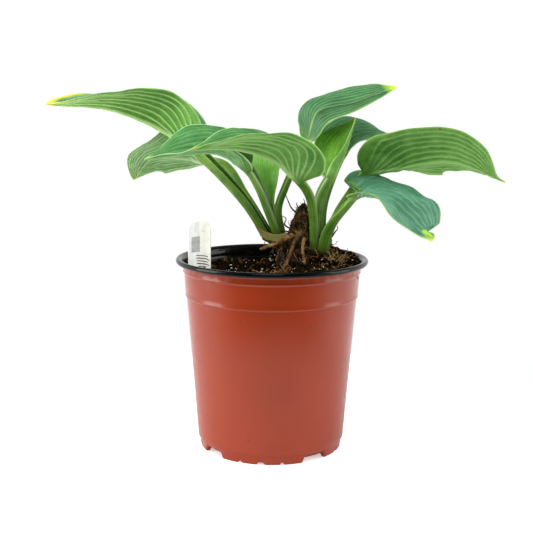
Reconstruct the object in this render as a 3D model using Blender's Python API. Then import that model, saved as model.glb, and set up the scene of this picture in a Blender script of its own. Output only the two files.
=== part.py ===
"""A hosta growing in a round nursery pot: pot, soil, plant label, root crown, roots and ten leaves.

Lengths in the tables are millimetres. MM turns them into metres when a mesh is made.
The pot stands on z = 0 with its axis on the Z axis, and the open front of the plant looks along -Y.
"""

import bpy
import numpy as np
from math import cos, pi, radians, sin

MM = 0.001
GAP = 0.3  # clearance between pieces that touch on the real object

# ---------------------------------------------------------------- driving dimensions
POT_HEIGHT = 165.0
POT_LIP_RADIUS = 82.3
POT_LIP_HEIGHT = 4.6
POT_WALL = 1.3
POT_FOOT_HEIGHT = 8.7
POT_FOOT_RADIUS = 61.0
POT_NECK_RADIUS = 76.4  # under the lip
POT_UPPER_RING_Z = 153.5
POT_LOWER_RING_Z = 132.6
POT_SEGMENTS = 72
FOOT_COUNT = 4
FOOT_GAP_DEG = 22.0  # the raised drain gap between two feet
FOOT_GAP_START_DEG = -53.0  # centre of the first gap, measured from -Y
FOOT_GAP_RISE = 5.5
DRAIN_HOLE_RADIUS = 5.0
DRAIN_HOLE_CIRCLE = 44.0

SOIL_LOW = 151.5  # level over the left and front of the pot
SOIL_HIGH = 160.5  # level on the mounded side
SOIL_MOUND = 12.0  # how far the mound round the crown rises above SOIL_HIGH
SOIL_MOUND_CENTRE = (44.0, 9.0)
SOIL_MOUND_RADIUS = 25.0

LABEL_WIDTH = 20.0
LABEL_HEIGHT = 68.0
LABEL_SHOULDER_Z = 152.0  # below this the label narrows to its point
LABEL_FOOT_SHARE = 0.45
LABEL_THICK = 0.7
LABEL_TOP_Z = 195.0
LABEL_CENTRE = (-62.5, 4.0)
LABEL_TURN_DEG = -8.0
LABEL_BEND = 2.2  # depth of the lengthwise bow

CROWN_BOTTOM_Z = 158.0
LEFT_FAN_Z = 184.0  # the height at which the left fan's leaf stalks leave the crown
RIGHT_FAN_Z = 180.0
FRONT_LEDGE_Z = 173.0  # the two front stalks on the right sit lower, on a ledge of the crown

STALK_THICK = 2.8
BLADE_THICK = 0.9
MARGIN_THICK = 0.6
STALK_STATIONS = 7
BLADE_STATIONS = 13
HALF_POINTS = 3  # points across one half of a leaf, from the midrib out

# Each leaf is one grown organ: a channelled stalk that opens into a folded blade.
# stalk: half width of the channel round its wall, at the foot and at the blade
# path: stalk foot, two stalk points, blade base, two midrib points, tip
# heading: plan direction of the blade (0 = +X); rise: angle of each half above the side
# direction at the stalk foot, blade base, 30 %, 65 % and the tip; width: greatest half widths
# (left, right seen along the heading); fullness: two powers that place the widest point;
# lobe: how far each half sweeps back behind the blade base; bow: curl across each half
LEAVES = {
    "leaf_upper_left": dict(
        heading=168, stalk=(5.6, 8.0),
        width=(40, 31), fullness=(0.43, 0.66), lobe=(0.07, -0.15),
        path=((-6, -6, 184), (-22, -5, 209), (-44, 3, 233), (-63, 17, 249),
              (-98, 24, 273), (-135, 25, 288), (-199, 38, 293)),
        rise_left=(62, 50, 60, 18, 1), rise_right=(62, 72, 68, 28, 45), bow=(-33, -16)),
    "leaf_lower_left": dict(
        heading=165, stalk=(5.0, 7.0),
        width=(42, 28), fullness=(0.62, 0.86), lobe=(0.15, 0.20),
        path=((-4, 6, 184), (-23, 16, 216), (-40, 28, 240), (-57, 45, 243),
              (-82, 56, 246), (-109, 60, 245), (-126, 61, 225)),
        rise_left=(58, 59, 62, 19, 34), rise_right=(58, -8, -19, -41, -8), bow=(-22, -23)),
    "leaf_mid_left": dict(
        heading=178, stalk=(5.0, 8.2),
        width=(23, 34), fullness=(0.62, 0.84), lobe=(0.10, 0.05),
        path=((4, -9, 184), (-5, -15, 208), (-12, -20, 226), (-21, -25, 241),
              (-44, -28, 255), (-75, -28, 254), (-106, -30, 250)),
        rise_left=(60, 26, 20, 8, 7), rise_right=(60, 40, 36, 43, 4), bow=(-25, -31)),
    "leaf_front_sweeping": dict(
        heading=188, stalk=(5.0, 6.8),
        width=(41, 38), fullness=(0.56, 0.96), lobe=(0.35, 0.16),
        path=((34.5, -11, 173), (33.5, -15, 200), (29.5, -23, 220), (21, -32, 233),
              (2, -43, 250), (-28, -54, 260), (-65, -64, 260)),
        rise_left=(60, 53, 39, 23, 13), rise_right=(60, 46, 28, 30, 24), bow=(-22, -27)),
    "leaf_young_left": dict(
        heading=95, stalk=(3.2, 3.6),
        width=(18, 15), fullness=(1.10, 0.79), lobe=(0.0, 0.0),
        path=((5, 10, 184), (2, 11, 193), (0, 12, 201), (-1.5, 13.5, 209),
              (-5, 18, 228), (-7, 25, 248), (-10, 34, 266)),
        rise_left=(55, 51, 40, 30, 10), rise_right=(55, 58, 45, 31, 11), bow=(-25, -24)),
    "leaf_top": dict(
        heading=8, stalk=(4.8, 6.4),
        width=(33, 25), fullness=(0.43, 0.77), lobe=(-0.29, 0.23),
        path=((9, 0.5, 184), (5.5, 4, 206), (11.5, 9, 225), (29, 9, 265),
              (37, 11, 287), (69, 17, 296), (106, 23, 310)),
        rise_left=(60, 16, 16, 28, 30), rise_right=(60, -2, -20, -11, -12), bow=(-27, -26)),
    "leaf_young_right": dict(
        heading=5, stalk=(4.8, 7.0),
        width=(30, 12), fullness=(0.65, 0.75), lobe=(0.07, 0.10),
        path=((37.5, 3.5, 180), (39, 1, 203), (42, -1, 219), (49, -2, 232),
              (59, 3, 250), (65, 3, 267), (69, 3, 284)),
        rise_left=(60, 54, 52, 52, 12), rise_right=(60, 45, 35, 20, 12), bow=(-25, -25)),
    "leaf_behind_right": dict(
        heading=12, stalk=(3.2, 4.2),
        width=(33, 18), fullness=(0.49, 0.85), lobe=(0.36, 0.17),
        path=((43.5, 11, 180), (45, 15, 208), (52, 20, 231), (61, 25, 251),
              (69, 30, 262), (84, 35, 268), (104, 37, 270)),
        rise_left=(50, 48, 38, 31, -11), rise_right=(50, 10, -1, -11, -7), bow=(-27, -25)),
    "leaf_long_right": dict(
        heading=-3, stalk=(4.8, 6.4),
        width=(38, 37), fullness=(0.55, 1.15), lobe=(-0.05, 0.12),
        path=((47.5, 3.5, 180), (57, 11, 202), (68, 15, 218), (81, 13, 235),
              (106, 1, 241), (146, -11, 248), (200, 7, 230)),
        rise_left=(60, 18, -17, -20, 3), rise_right=(60, 61, 56, 60, 14), bow=(-17, -19)),
    "leaf_hanging_right": dict(
        heading=-28, stalk=(6.4, 8.4),
        width=(46, 23), fullness=(0.63, 0.91), lobe=(0.85, 0.61),
        path=((46.5, -13, 173), (50.5, -18.5, 193), (59, -26, 209), (71, -29, 222),
              (90, -38, 220), (105, -50, 207), (126, -67, 189)),
        rise_left=(66, 22, 7, 20, -1), rise_right=(66, -2, 10, -2, -7), bow=(-15, -34)),
}

# Exposed roots: start at the crown, points along the way, end over the soil, radius at both ends
ROOTS = {
    "root_left_thick": dict(points=((15, -17.8, 184.5), (6, -18.9, 180.5), (-3, -18.8, 177), (-10, -18, 174)),
                            radius=(2.0, 1.3)),
    "root_front_long": dict(points=((19, -17, 182), (17, -19, 176), (14.5, -22, 168), (8, -26, 160)),
                            radius=(1.4, 0.8)),
    "root_front_right": dict(points=((27, -17.5, 181), (25.5, -19.5, 176), (26, -21, 170), (28, -23, 165)),
                             radius=(1.4, 0.8)),
    "root_back": dict(points=((22, 16.5, 178), (16, 20, 177), (9, 25, 170), (4, 29, 160)),
                      radius=(1.5, 0.8)),
}

# The dry sheath round the foot of the left fan
BRACT_PATH = ((13, -15.4, 187), (5, -16.2, 183.5), (-6, -16.2, 186), (-14, -15.2, 193.5))
BRACT_HALF_WIDTH = 3.0
BRACT_BOW = 0.12

COLOURS = {
    "pot_plastic": ((0.42, 0.06, 0.025, 1.0), 0.35),
    "peat_soil": ((0.02, 0.013, 0.009, 1.0), 0.95),
    "label_plastic": ((0.75, 0.77, 0.72, 1.0), 0.4),
    "root_bark": ((0.17, 0.09, 0.035, 1.0), 0.85),
    "leaf_green": ((0.10, 0.28, 0.07, 1.0), 0.5),
    "dry_bract": ((0.24, 0.20, 0.08, 1.0), 0.8),
}


# ---------------------------------------------------------------- helpers
def material(name):
    """A plain Principled material for one kind of surface, made once."""
    found = bpy.data.materials.get(name)
    if found:
        return found
    made = bpy.data.materials.new(name)
    made.use_nodes = True
    shader = made.node_tree.nodes["Principled BSDF"]
    colour, roughness = COLOURS[name]
    shader.inputs["Base Color"].default_value = colour
    shader.inputs["Roughness"].default_value = roughness
    made.diffuse_color = colour
    return made


def solid(name, points, faces, surface):
    """One object from points in millimetres and faces, with its material."""
    mesh = bpy.data.meshes.new(name)
    mesh.from_pydata([tuple(float(v) * MM for v in p) for p in points], [], faces)
    mesh.validate()
    mesh.materials.append(material(surface))
    obj = bpy.data.objects.new(name, mesh)
    bpy.context.scene.collection.objects.link(obj)
    return obj


def loft(rings, closed_start=True, closed_end=True):
    """Points and faces of a skin through rings that all have the same number of points.

    The rings turn anticlockwise when seen from the end that the loft runs towards.
    """
    count = len(rings[0])
    points = [p for ring in rings for p in ring]
    faces = []
    for row in range(len(rings) - 1):
        for i in range(count):
            j = (i + 1) % count
            low = row * count
            high = low + count
            faces.append((low + i, low + j, high + j, high + i))
    if closed_start:
        points.append(np.mean(rings[0], axis=0))
        hub = len(points) - 1
        faces += [(hub, (i + 1) % count, i) for i in range(count)]
    if closed_end:
        points.append(np.mean(rings[-1], axis=0))
        hub = len(points) - 1
        low = (len(rings) - 1) * count
        faces += [(hub, low + i, low + (i + 1) % count) for i in range(count)]
    return points, faces


def smooth_path(points, samples=24):
    """A Hermite curve through the points, with slopes taken from the neighbours."""
    knots = np.asarray(points, float)
    steps = np.linalg.norm(np.diff(knots, axis=0), axis=1)
    slopes = np.zeros_like(knots)
    slopes[0] = (knots[1] - knots[0]) / steps[0]
    slopes[-1] = (knots[-1] - knots[-2]) / steps[-1]
    for i in range(1, len(knots) - 1):
        before = (knots[i] - knots[i - 1]) / steps[i - 1]
        after = (knots[i + 1] - knots[i]) / steps[i]
        slopes[i] = (before * steps[i] + after * steps[i - 1]) / (steps[i] + steps[i - 1])
    pieces = []
    for i in range(len(knots) - 1):
        t = np.linspace(0, 1, samples, endpoint=False)[:, None]
        piece = (2 * t**3 - 3 * t**2 + 1) * knots[i]
        piece = piece + (t**3 - 2 * t**2 + t) * steps[i] * slopes[i]
        piece = piece + (3 * t**2 - 2 * t**3) * knots[i + 1]
        piece = piece + (t**3 - t**2) * steps[i] * slopes[i + 1]
        pieces.append(piece)
    return np.concatenate(pieces + [knots[-1:]])


def along(line, fractions):
    """Points at these fractions of a line's length."""
    steps = np.linalg.norm(np.diff(line, axis=0), axis=1)
    travelled = np.concatenate([[0], np.cumsum(steps)])
    travelled = travelled / travelled[-1]
    return np.stack([np.interp(fractions, travelled, line[:, k]) for k in range(3)], -1)


def eased(x, knots, values):
    """A smooth curve through a few values, for an angle that changes along a leaf."""
    knots = np.asarray(knots, float)
    values = np.asarray(values, float)
    steps = np.diff(knots)
    slope = np.diff(values) / steps
    ends = np.zeros_like(values)
    ends[0] = slope[0]
    ends[-1] = slope[-1]
    ends[1:-1] = (slope[:-1] * steps[1:] + slope[1:] * steps[:-1]) / (steps[1:] + steps[:-1])
    i = np.clip(np.searchsorted(knots, x, side="right") - 1, 0, len(knots) - 2)
    t = (x - knots[i]) / steps[i]
    value = (2 * t**3 - 3 * t**2 + 1) * values[i] + (t**3 - 2 * t**2 + t) * steps[i] * ends[i]
    return value + (3 * t**2 - 2 * t**3) * values[i + 1] + (t**3 - t**2) * steps[i] * ends[i + 1]


# ---------------------------------------------------------------- leaves
def leaf_sheet(leaf, stalk_stations, blade_stations, half_points):
    """The leaf's upper surface as a grid, stalk foot to tip, left margin to right margin."""
    line = smooth_path(leaf["path"])
    split = 24 * 3
    stalk_at = np.linspace(0, 1, stalk_stations, endpoint=False)
    blade_at = 1 - (1 - np.linspace(0, 1, blade_stations + 1)) ** 1.15
    blade_at = 0.992 * blade_at
    spine = np.concatenate([along(line[: split + 1], stalk_at), along(line[split:], blade_at)])
    tangent = np.gradient(spine, axis=0)
    tangent /= np.linalg.norm(tangent, axis=1)[:, None]
    heading = radians(leaf["heading"])
    side = np.array([sin(heading), -cos(heading), 0.0])
    side = side - (tangent @ side)[:, None] * tangent
    side /= np.linalg.norm(side, axis=1)[:, None]
    up = np.cross(side, tangent)
    place = np.concatenate([stalk_at - 1, blade_at])
    a, b = leaf["fullness"]
    peak = (a / (a + b)) ** a * (b / (a + b)) ** b
    blade = np.clip(place, 0, 1)
    swell = blade**a * (1 - blade) ** b / peak
    foot, throat = leaf["stalk"]
    channel = foot + (throat - foot) * np.clip(place + 1, 0, 1) ** 1.5
    channel = np.where(place > 0, channel * (1 - blade) ** 3, channel)
    swept = np.where(place > 0, (1 - blade) ** 2.5 * np.clip(blade / 0.04, 0, 1), 0.0)
    across = np.linspace(0, 1, half_points + 1)
    halves = []
    for k, (sign, rise) in enumerate(((-1, leaf["rise_left"]), (1, leaf["rise_right"]))):
        width = np.maximum(channel + leaf["width"][k] * swell, 0.5)[:, None]
        angle = np.radians(eased(place, [-1, 0, 0.3, 0.65, 1], rise))[:, None]
        bend = leaf["bow"][k]
        bend = np.radians(eased(place, [-1, -0.15, 0.25, 1], [60, 60, bend, bend]))[:, None]
        bend = np.where(np.abs(bend) < 1e-4, 1e-4, bend)
        start = angle - bend / 2
        out = width / bend * (np.sin(start + bend * across) - np.sin(start))
        lift = -width / bend * (np.cos(start + bend * across) - np.cos(start))
        back = swept[:, None] * leaf["lobe"][k] * width * across
        point = spine[:, None, :] + sign * out[..., None] * side[:, None, :]
        point = point + lift[..., None] * up[:, None, :] - back[..., None] * tangent[:, None, :]
        halves.append(point)
    sheet = np.concatenate([halves[0][:, ::-1], halves[1][:, 1:]], axis=1)
    return sheet, place, tangent


def sheet_normals(sheet):
    """Unit normals of a grid of points, on the side that a leaf turns upwards."""
    normal = np.cross(np.gradient(sheet, axis=1), np.gradient(sheet, axis=0))
    return normal / np.maximum(np.linalg.norm(normal, axis=2), 1e-9)[..., None]


def leaf_solid(name, leaf):
    """The leaf sheet thickened downwards into one closed body, its foot cut level."""
    sheet, place, tangent = leaf_sheet(leaf, STALK_STATIONS, BLADE_STATIONS, HALF_POINTS)
    normal = sheet_normals(sheet)
    middle = np.abs(np.linspace(-1, 1, sheet.shape[1]))
    body = np.where(place < 0, STALK_THICK, BLADE_THICK + 0.5 * np.clip(1 - place * 5, 0, 1))
    thick = body[:, None] * (1 - 0.35 * middle**2)
    thick[:, 0] = MARGIN_THICK
    thick[:, -1] = MARGIN_THICK
    under = sheet - normal * thick[..., None]
    rings = [np.concatenate([sheet[i], under[i, ::-1]]) for i in range(len(sheet))]
    foot = leaf["path"][0][2] + GAP
    for point in rings[0]:
        point += tangent[0] * (foot - point[2]) / tangent[0][2]
    points, faces = loft(rings)
    return solid(name, points, faces, "leaf_green")


# ---------------------------------------------------------------- pot
def wall_profile(z):
    """Outer radius of the pot's wall at height z, between the foot and the lip."""
    knots = (0.0, POT_FOOT_HEIGHT, POT_LOWER_RING_Z, POT_LOWER_RING_Z + 0.8,
             POT_UPPER_RING_Z, POT_UPPER_RING_Z + 0.8, POT_HEIGHT)
    radii = (62.6, 63.2, 73.2, 74.0, 75.4, 76.0, POT_NECK_RADIUS)
    return float(np.interp(z, knots, radii))


def pot():
    """The pot as one skin: up the outside, over the rolled lip, down the inside, across the floor."""
    top = POT_HEIGHT
    lip = top - POT_LIP_HEIGHT
    inner_lip = POT_LIP_RADIUS - 3.4
    outside = [(20.0, 3.5), (POT_FOOT_RADIUS - 4.5, 3.5), (POT_FOOT_RADIUS - 3.5, 0.0),
               (POT_FOOT_RADIUS, 0.0), (POT_FOOT_RADIUS + 0.6, POT_FOOT_HEIGHT - 0.6),
               (wall_profile(POT_FOOT_HEIGHT), POT_FOOT_HEIGHT)]
    outside += [(wall_profile(z), z) for z in (50.0, POT_LOWER_RING_Z, POT_LOWER_RING_Z + 0.8,
                                               POT_UPPER_RING_Z, POT_UPPER_RING_Z + 0.8, lip)]
    rim = [(POT_LIP_RADIUS - 0.6, lip), (POT_LIP_RADIUS, lip + 0.8), (POT_LIP_RADIUS, top - 1.4),
           (POT_LIP_RADIUS - 1.2, top - 0.1), (inner_lip + 0.6, top), (inner_lip - 0.4, top - 1.0)]
    inside = [(wall_profile(lip) - POT_WALL, lip - 1.5)]
    inside += [(wall_profile(z) - POT_WALL, z) for z in (POT_LOWER_RING_Z + 0.8, POT_LOWER_RING_Z, 50.0)]
    inside += [(wall_profile(POT_FOOT_HEIGHT) - POT_WALL, 9.5), (20.0, 9.5)]
    profile = outside + rim + inside
    rings = []
    for row, (radius, z) in enumerate(profile):
        ring = []
        for k in range(POT_SEGMENTS):
            turn = 2 * pi * k / POT_SEGMENTS
            # angle measured from -Y, positive towards +X, to meet the foot gaps
            place = (np.degrees(turn) + 90 - FOOT_GAP_START_DEG) % (360 / FOOT_COUNT)
            place = min(place, 360 / FOOT_COUNT - place)
            raised = place < FOOT_GAP_DEG / 2 and row in (2, 3)
            height = z + (FOOT_GAP_RISE if raised else 0.0)
            ring.append((radius * cos(turn), radius * sin(turn), height))
        rings.append(np.array(ring))
    # the rings run up the outside, so each one is listed the other way round for the loft
    rings = [ring[::-1] for ring in rings][::-1]
    points, faces = loft(rings)
    body = solid("nursery_pot", points, faces, "pot_plastic")
    for k in range(FOOT_COUNT):
        turn = radians(FOOT_GAP_START_DEG - 90 + 45 + 90 * k)
        centre = (DRAIN_HOLE_CIRCLE * cos(turn), DRAIN_HOLE_CIRCLE * sin(turn))
        cut(body, column(f"drain_cutter_{k}", [(centre, DRAIN_HOLE_RADIUS, DRAIN_HOLE_RADIUS, -5.0),
                                               (centre, DRAIN_HOLE_RADIUS, DRAIN_HOLE_RADIUS, 20.0)], 12))
    return body


def column(name, levels, sides, surface="root_bark"):
    """A stack of level ellipses, each given as (centre, radius x, radius y, height)."""
    rings = []
    for centre, across, deep, z in levels:
        ring = [(centre[0] + across * cos(2 * pi * k / sides),
                 centre[1] + deep * sin(2 * pi * k / sides), z) for k in range(sides)]
        rings.append(np.array(ring))
    points, faces = loft(rings)
    return solid(name, points, faces, surface)


def cut(body, cutter, operation="DIFFERENCE"):
    """Adds one exact Boolean and hides the piece that it uses."""
    cutter.hide_render = True
    cutter.display_type = "WIRE"
    boolean = body.modifiers.new(cutter.name, "BOOLEAN")
    boolean.operation = operation
    boolean.solver = "EXACT"
    boolean.object = cutter


# ---------------------------------------------------------------- soil
def soil_height(x, y):
    """Top of the soil: low and level on the left, banked up on the right and round the crown."""
    t = np.clip((x + 8.0) / 34.0, 0, 1)
    level = SOIL_LOW + (SOIL_HIGH - SOIL_LOW) * t * t * (3 - 2 * t)
    away = np.hypot(x - SOIL_MOUND_CENTRE[0], y - SOIL_MOUND_CENTRE[1]) / SOIL_MOUND_RADIUS
    bank = SOIL_MOUND * np.exp(-(away**2))
    lumps = 0.8 * sin(0.21 * x + 0.6) * cos(0.17 * y) + 0.5 * sin(0.43 * y + 0.2 * x)
    return level + bank + lumps


def soil():
    """The soil as one body that fills the pot, with a pocket for the crown and a slot for the label."""
    sides = 40
    floor = 9.5 + GAP
    shell = POT_WALL + GAP
    levels = [(0.4, floor), (1.0, floor), (1.0, 50.0), (1.0, POT_LOWER_RING_Z - 1.0)]
    rings = []
    for share, z in levels:
        radius = (wall_profile(z) - shell) * share
        if z == floor:
            radius = (wall_profile(POT_FOOT_HEIGHT) - shell) * share
        # the faceted soil stays inside the faceted pot
        radius *= cos(pi / POT_SEGMENTS)
        rings.append([(radius * cos(2 * pi * k / sides), radius * sin(2 * pi * k / sides), z)
                      for k in range(sides)])
    edge = (wall_profile(POT_LOWER_RING_Z) - shell) * cos(pi / POT_SEGMENTS)
    for radius in (edge, 62.0, 50.0, 38.0, 26.0, 13.0):
        ring = []
        for k in range(sides):
            x = radius * cos(2 * pi * k / sides)
            y = radius * sin(2 * pi * k / sides)
            ring.append((x, y, soil_height(x, y)))
        rings.append(ring)
    points, faces = loft([np.array(ring) for ring in rings])
    points[-1] = (0.0, 0.0, float(soil_height(0.0, 0.0)))
    body = solid("potting_soil", points, faces, "peat_soil")
    pocket = column("crown_pocket_cutter", [((26, 0), 23.0, 16.0, CROWN_BOTTOM_Z - GAP),
                                            ((26, 0), 23.0, 16.0, 200.0)], 24)
    cut(body, pocket)
    shoulder = column("shoulder_pocket_cutter", [((38, 5), 14.6, 11.8, 164.0),
                                                 ((38, 5), 14.6, 11.8, 200.0)], 20)
    cut(body, shoulder)
    slot = label_piece("label_slot_cutter", 2 * GAP)
    cut(body, slot)
    return body


# ---------------------------------------------------------------- label
def label_piece(name, grow=0.0):
    """The label as a bowed strip with a rounded top and a narrowed foot. Grown a little, it cuts its slot."""
    bottom = LABEL_TOP_Z - LABEL_HEIGHT - grow
    turn = radians(LABEL_TURN_DEG)
    columns = np.linspace(-1, 1, 9)
    rings = []
    for share, base in ((LABEL_FOOT_SHARE, bottom), (1.0, LABEL_SHOULDER_Z), (1.0, None)):
        half = LABEL_WIDTH / 2 * share + grow
        faces_of_strip = []
        for side in (-1, 1):
            row = []
            for u in columns:
                corner = 4.5 * (1 - np.sqrt(max(0.0, 1 - u**6)))
                z = LABEL_TOP_Z + grow - corner if base is None else base
                x = half * u
                y = LABEL_BEND * (1 - (share * u) ** 2) + side * (LABEL_THICK / 2 + grow)
                row.append((LABEL_CENTRE[0] + x * cos(turn) - y * sin(turn),
                            LABEL_CENTRE[1] + x * sin(turn) + y * cos(turn), z))
            faces_of_strip.append(row)
        rings.append(np.array(faces_of_strip[0] + faces_of_strip[1][::-1]))
    points, faces = loft(rings, False, False)
    count = len(columns)
    last = 2 * count * (len(rings) - 1)
    for low, flip in ((0, True), (last, False)):
        for i in range(count - 1):
            face = (low + i, low + i + 1, low + 2 * count - 2 - i, low + 2 * count - 1 - i)
            faces.append(face[::-1] if flip else face)
    return solid(name, points, faces, "label_plastic")


# ---------------------------------------------------------------- crown and roots
def crown():
    """The woody root crown: a low stump in the soil, a branch to each fan, and the old stub between."""
    body = column("root_crown", [((26, 0), 22.0, 14.0, CROWN_BOTTOM_Z), ((26, 0), 21.0, 14.5, 166.0),
                                 ((26, -1), 19.5, 15.0, FRONT_LEDGE_Z)], 24)
    right = column("right_shoulder", [((36, 5), 11.0, 9.0, 165.0), ((39, 5), 12.5, 10.5, 175.0),
                                      ((39, 5), 12.8, 10.8, RIGHT_FAN_Z)], 16)
    left = column("left_shoulder", [((20, 0), 11.0, 12.0, 167.0), ((12, 0), 11.0, 12.5, 175.0),
                                    ((5, 0), 12.5, 13.5, 180.0), ((2.5, 0), 13.5, 14.5, LEFT_FAN_Z)], 16)
    stub = column("old_stub", [((24, 1.5), 10.5, 12.0, 170.0), ((22.8, 2.5), 9.0, 9.5, 181.0),
                               ((23.2, 4), 8.2, 7.5, 190.0), ((24.8, 5), 6.8, 5.6, 198.0),
                               ((26.4, 5), 4.6, 4.2, 206.0), ((26.8, 5), 1.6, 1.6, 211.0)], 14)
    for piece in (right, left, stub):
        cut(body, piece, "UNION")
    return body


def tube(name, points, radii, sides=8, surface="root_bark"):
    """A round root along a smooth path, thinning from its start to its end."""
    line = smooth_path(points, 8)
    stations = along(line, np.linspace(0, 1, 9))
    tangent = np.gradient(stations, axis=0)
    tangent /= np.linalg.norm(tangent, axis=1)[:, None]
    rings = []
    across = np.cross(tangent[0], (0.3, 1.0, 0.2))
    for i, centre in enumerate(stations):
        across = across - (across @ tangent[i]) * tangent[i]
        across /= np.linalg.norm(across)
        other = np.cross(tangent[i], across)
        radius = radii[0] + (radii[1] - radii[0]) * i / (len(stations) - 1)
        radius *= 1 + 0.12 * sin(2.3 * i)
        rings.append(np.array([centre + radius * (cos(2 * pi * k / sides) * across
                                                  + sin(2 * pi * k / sides) * other)
                               for k in range(sides)]))
    made, faces = loft(rings)
    return solid(name, made, faces, surface)


def bract():
    """The dry papery sheath that lies round the foot of the left fan and curls away to a point."""
    path = smooth_path(BRACT_PATH, 5)
    slope = np.gradient(path, axis=0)
    slope /= np.linalg.norm(slope, axis=1)[:, None]
    rings = []
    for i, centre in enumerate(path):
        t = i / (len(path) - 1)
        half = 0.6 + BRACT_HALF_WIDTH * np.interp(t, (0.0, 0.35, 0.7, 1.0), (0.35, 1.0, 0.8, 0.0))
        across = np.cross((0.0, 1.0, 0.0), slope[i])
        near = []
        far = []
        for u in np.linspace(-1, 1, 5):
            bow = BRACT_BOW * half * u * u
            point = centre + half * u * across + np.array((0.0, bow, 0.0))
            near.append(point - (0, 0.35, 0))
            far.append(point + (0, 0.35, 0))
        rings.append(np.array(near + far[::-1]))
    points, faces = loft(rings)
    return solid("dry_bract", points, faces, "dry_bract")


def main():
    for obj in list(bpy.data.objects):
        bpy.data.objects.remove(obj, do_unlink=True)
    pot()
    soil()
    label_piece("plant_label")
    crown()
    for name, root in ROOTS.items():
        tube(name, root["points"], root["radius"])
    bract()
    for name, leaf in LEAVES.items():
        leaf_solid(name, leaf)


main()
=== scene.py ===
# %% [markdown]
# # A potted hosta
# A young hosta with ten folded leaves stands high on its root crown in a thin plastic nursery pot.
# The CAD model gives every piece its place. This lesson makes the pieces that the eye sees:
# a moulded pot, crumbly soil, a fibrous crown, loose roots and leaves with veins.
# Lengths in the tables are millimetres, because a maker measures a plant and a pot in them.

# %% Load the CAD frame
import bpy
import numpy as np
from math import cos, pi, radians, sin
from mathutils import Euler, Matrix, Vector, noise


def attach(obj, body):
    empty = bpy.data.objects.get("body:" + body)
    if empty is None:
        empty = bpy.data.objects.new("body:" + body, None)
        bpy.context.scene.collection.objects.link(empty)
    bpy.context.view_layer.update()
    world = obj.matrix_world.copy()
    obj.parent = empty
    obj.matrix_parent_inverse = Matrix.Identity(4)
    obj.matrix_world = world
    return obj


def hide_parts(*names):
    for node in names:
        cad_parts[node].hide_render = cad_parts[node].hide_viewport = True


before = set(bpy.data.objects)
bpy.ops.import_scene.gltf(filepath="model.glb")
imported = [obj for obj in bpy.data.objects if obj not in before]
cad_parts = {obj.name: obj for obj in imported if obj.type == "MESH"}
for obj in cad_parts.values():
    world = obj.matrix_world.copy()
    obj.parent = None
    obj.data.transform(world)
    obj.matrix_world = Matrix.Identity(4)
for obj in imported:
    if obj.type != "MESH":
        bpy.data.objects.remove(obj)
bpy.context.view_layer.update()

MM = 0.001

# %% [markdown]
# ## Camera and light
# The plant is seen from a little above the pot's lip, at the height of the leaves, with a long lens.
# A long lens keeps the pot's walls nearly straight. The studio is white all round: a soft dome,
# one broad light on each side that draws the bright edges of the pot, and a softer one on top.
# A narrow strip over the camera adds the white line along the glossy lip.
# The side nearest the camera stays dimmer, so the glossy pot keeps a dark stripe down its middle.

# %% Camera
LENS_MM = 71.1
LOOKING_DOWN_DEG = 9.5
ROLL_DEG = -0.4
camera_data = bpy.data.cameras.new("studio_camera")
camera_data.lens = LENS_MM
camera_data.sensor_width = 36.0
camera = bpy.data.objects.new("studio_camera", camera_data)
camera.location = (-0.0057, -0.8927, 0.306)
camera.rotation_euler = Euler((radians(90 - LOOKING_DOWN_DEG), radians(ROLL_DEG), 0.0), "XYZ")
bpy.context.scene.collection.objects.link(camera)
bpy.context.scene.camera = camera
bpy.context.scene.view_settings.view_transform = "Standard"
print("lens", LENS_MM, "mm at", tuple(round(v, 3) for v in camera.location))


# %% Colour and node helpers
def linear(code):
    """An sRGB hex colour as linear red, green, blue and alpha."""
    parts = [int(code[i:i + 2], 16) / 255 for i in (1, 3, 5)]
    return tuple(c / 12.92 if c <= 0.04045 else ((c + 0.055) / 1.055) ** 2.4 for c in parts) + (1.0,)


def add(tree, kind, settings=None, **inputs):
    """One node with its settings and its inputs, each a value or another node's socket.

    A name such as Value_1 means the second input called Value.
    """
    made = tree.nodes.new(kind)
    for name, value in (settings or {}).items():
        setattr(made, name, value)
    for name, value in inputs.items():
        stem, _, digit = name.rpartition("_")
        if digit.isdigit():
            found = [s for s in made.inputs if s.name == stem.replace("_", " ") and s.enabled][int(digit)]
        else:
            found = next(s for s in made.inputs if s.name == name.replace("_", " ") and s.enabled)
        if isinstance(value, bpy.types.NodeSocket):
            tree.links.new(value, found)
        else:
            found.default_value = value
    return made


def out(node, name="Result"):
    """The output of a node that is switched on, where several share one name."""
    return next(s for s in node.outputs if s.name == name and s.enabled)


def new_surface(name):
    """An empty material and its Principled shader, ready for a pattern."""
    made = bpy.data.materials.new(name)
    made.use_nodes = True
    tree = made.node_tree
    return made, tree, tree.nodes["Principled BSDF"]


# %% Studio
world = bpy.data.worlds.new("white_studio")
world.use_nodes = True
bpy.context.scene.world = world
sky = world.node_tree
background = sky.nodes["Background"]
ray = add(sky, "ShaderNodeLightPath")
direction = add(sky, "ShaderNodeTexCoord").outputs["Generated"]
split = add(sky, "ShaderNodeSeparateXYZ", Vector=direction)
# Y is -1 towards the camera's side of the room, which is the dim side, above all in reflections
front = add(sky, "ShaderNodeMapRange", Value=split.outputs["Y"], From_Min=-0.9, From_Max=-0.1,
            To_Min=0.46, To_Max=0.72)
mirrored = add(sky, "ShaderNodeMapRange", Value=split.outputs["Y"], From_Min=-0.72, From_Max=0.0,
               To_Min=0.0, To_Max=1.3)
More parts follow.
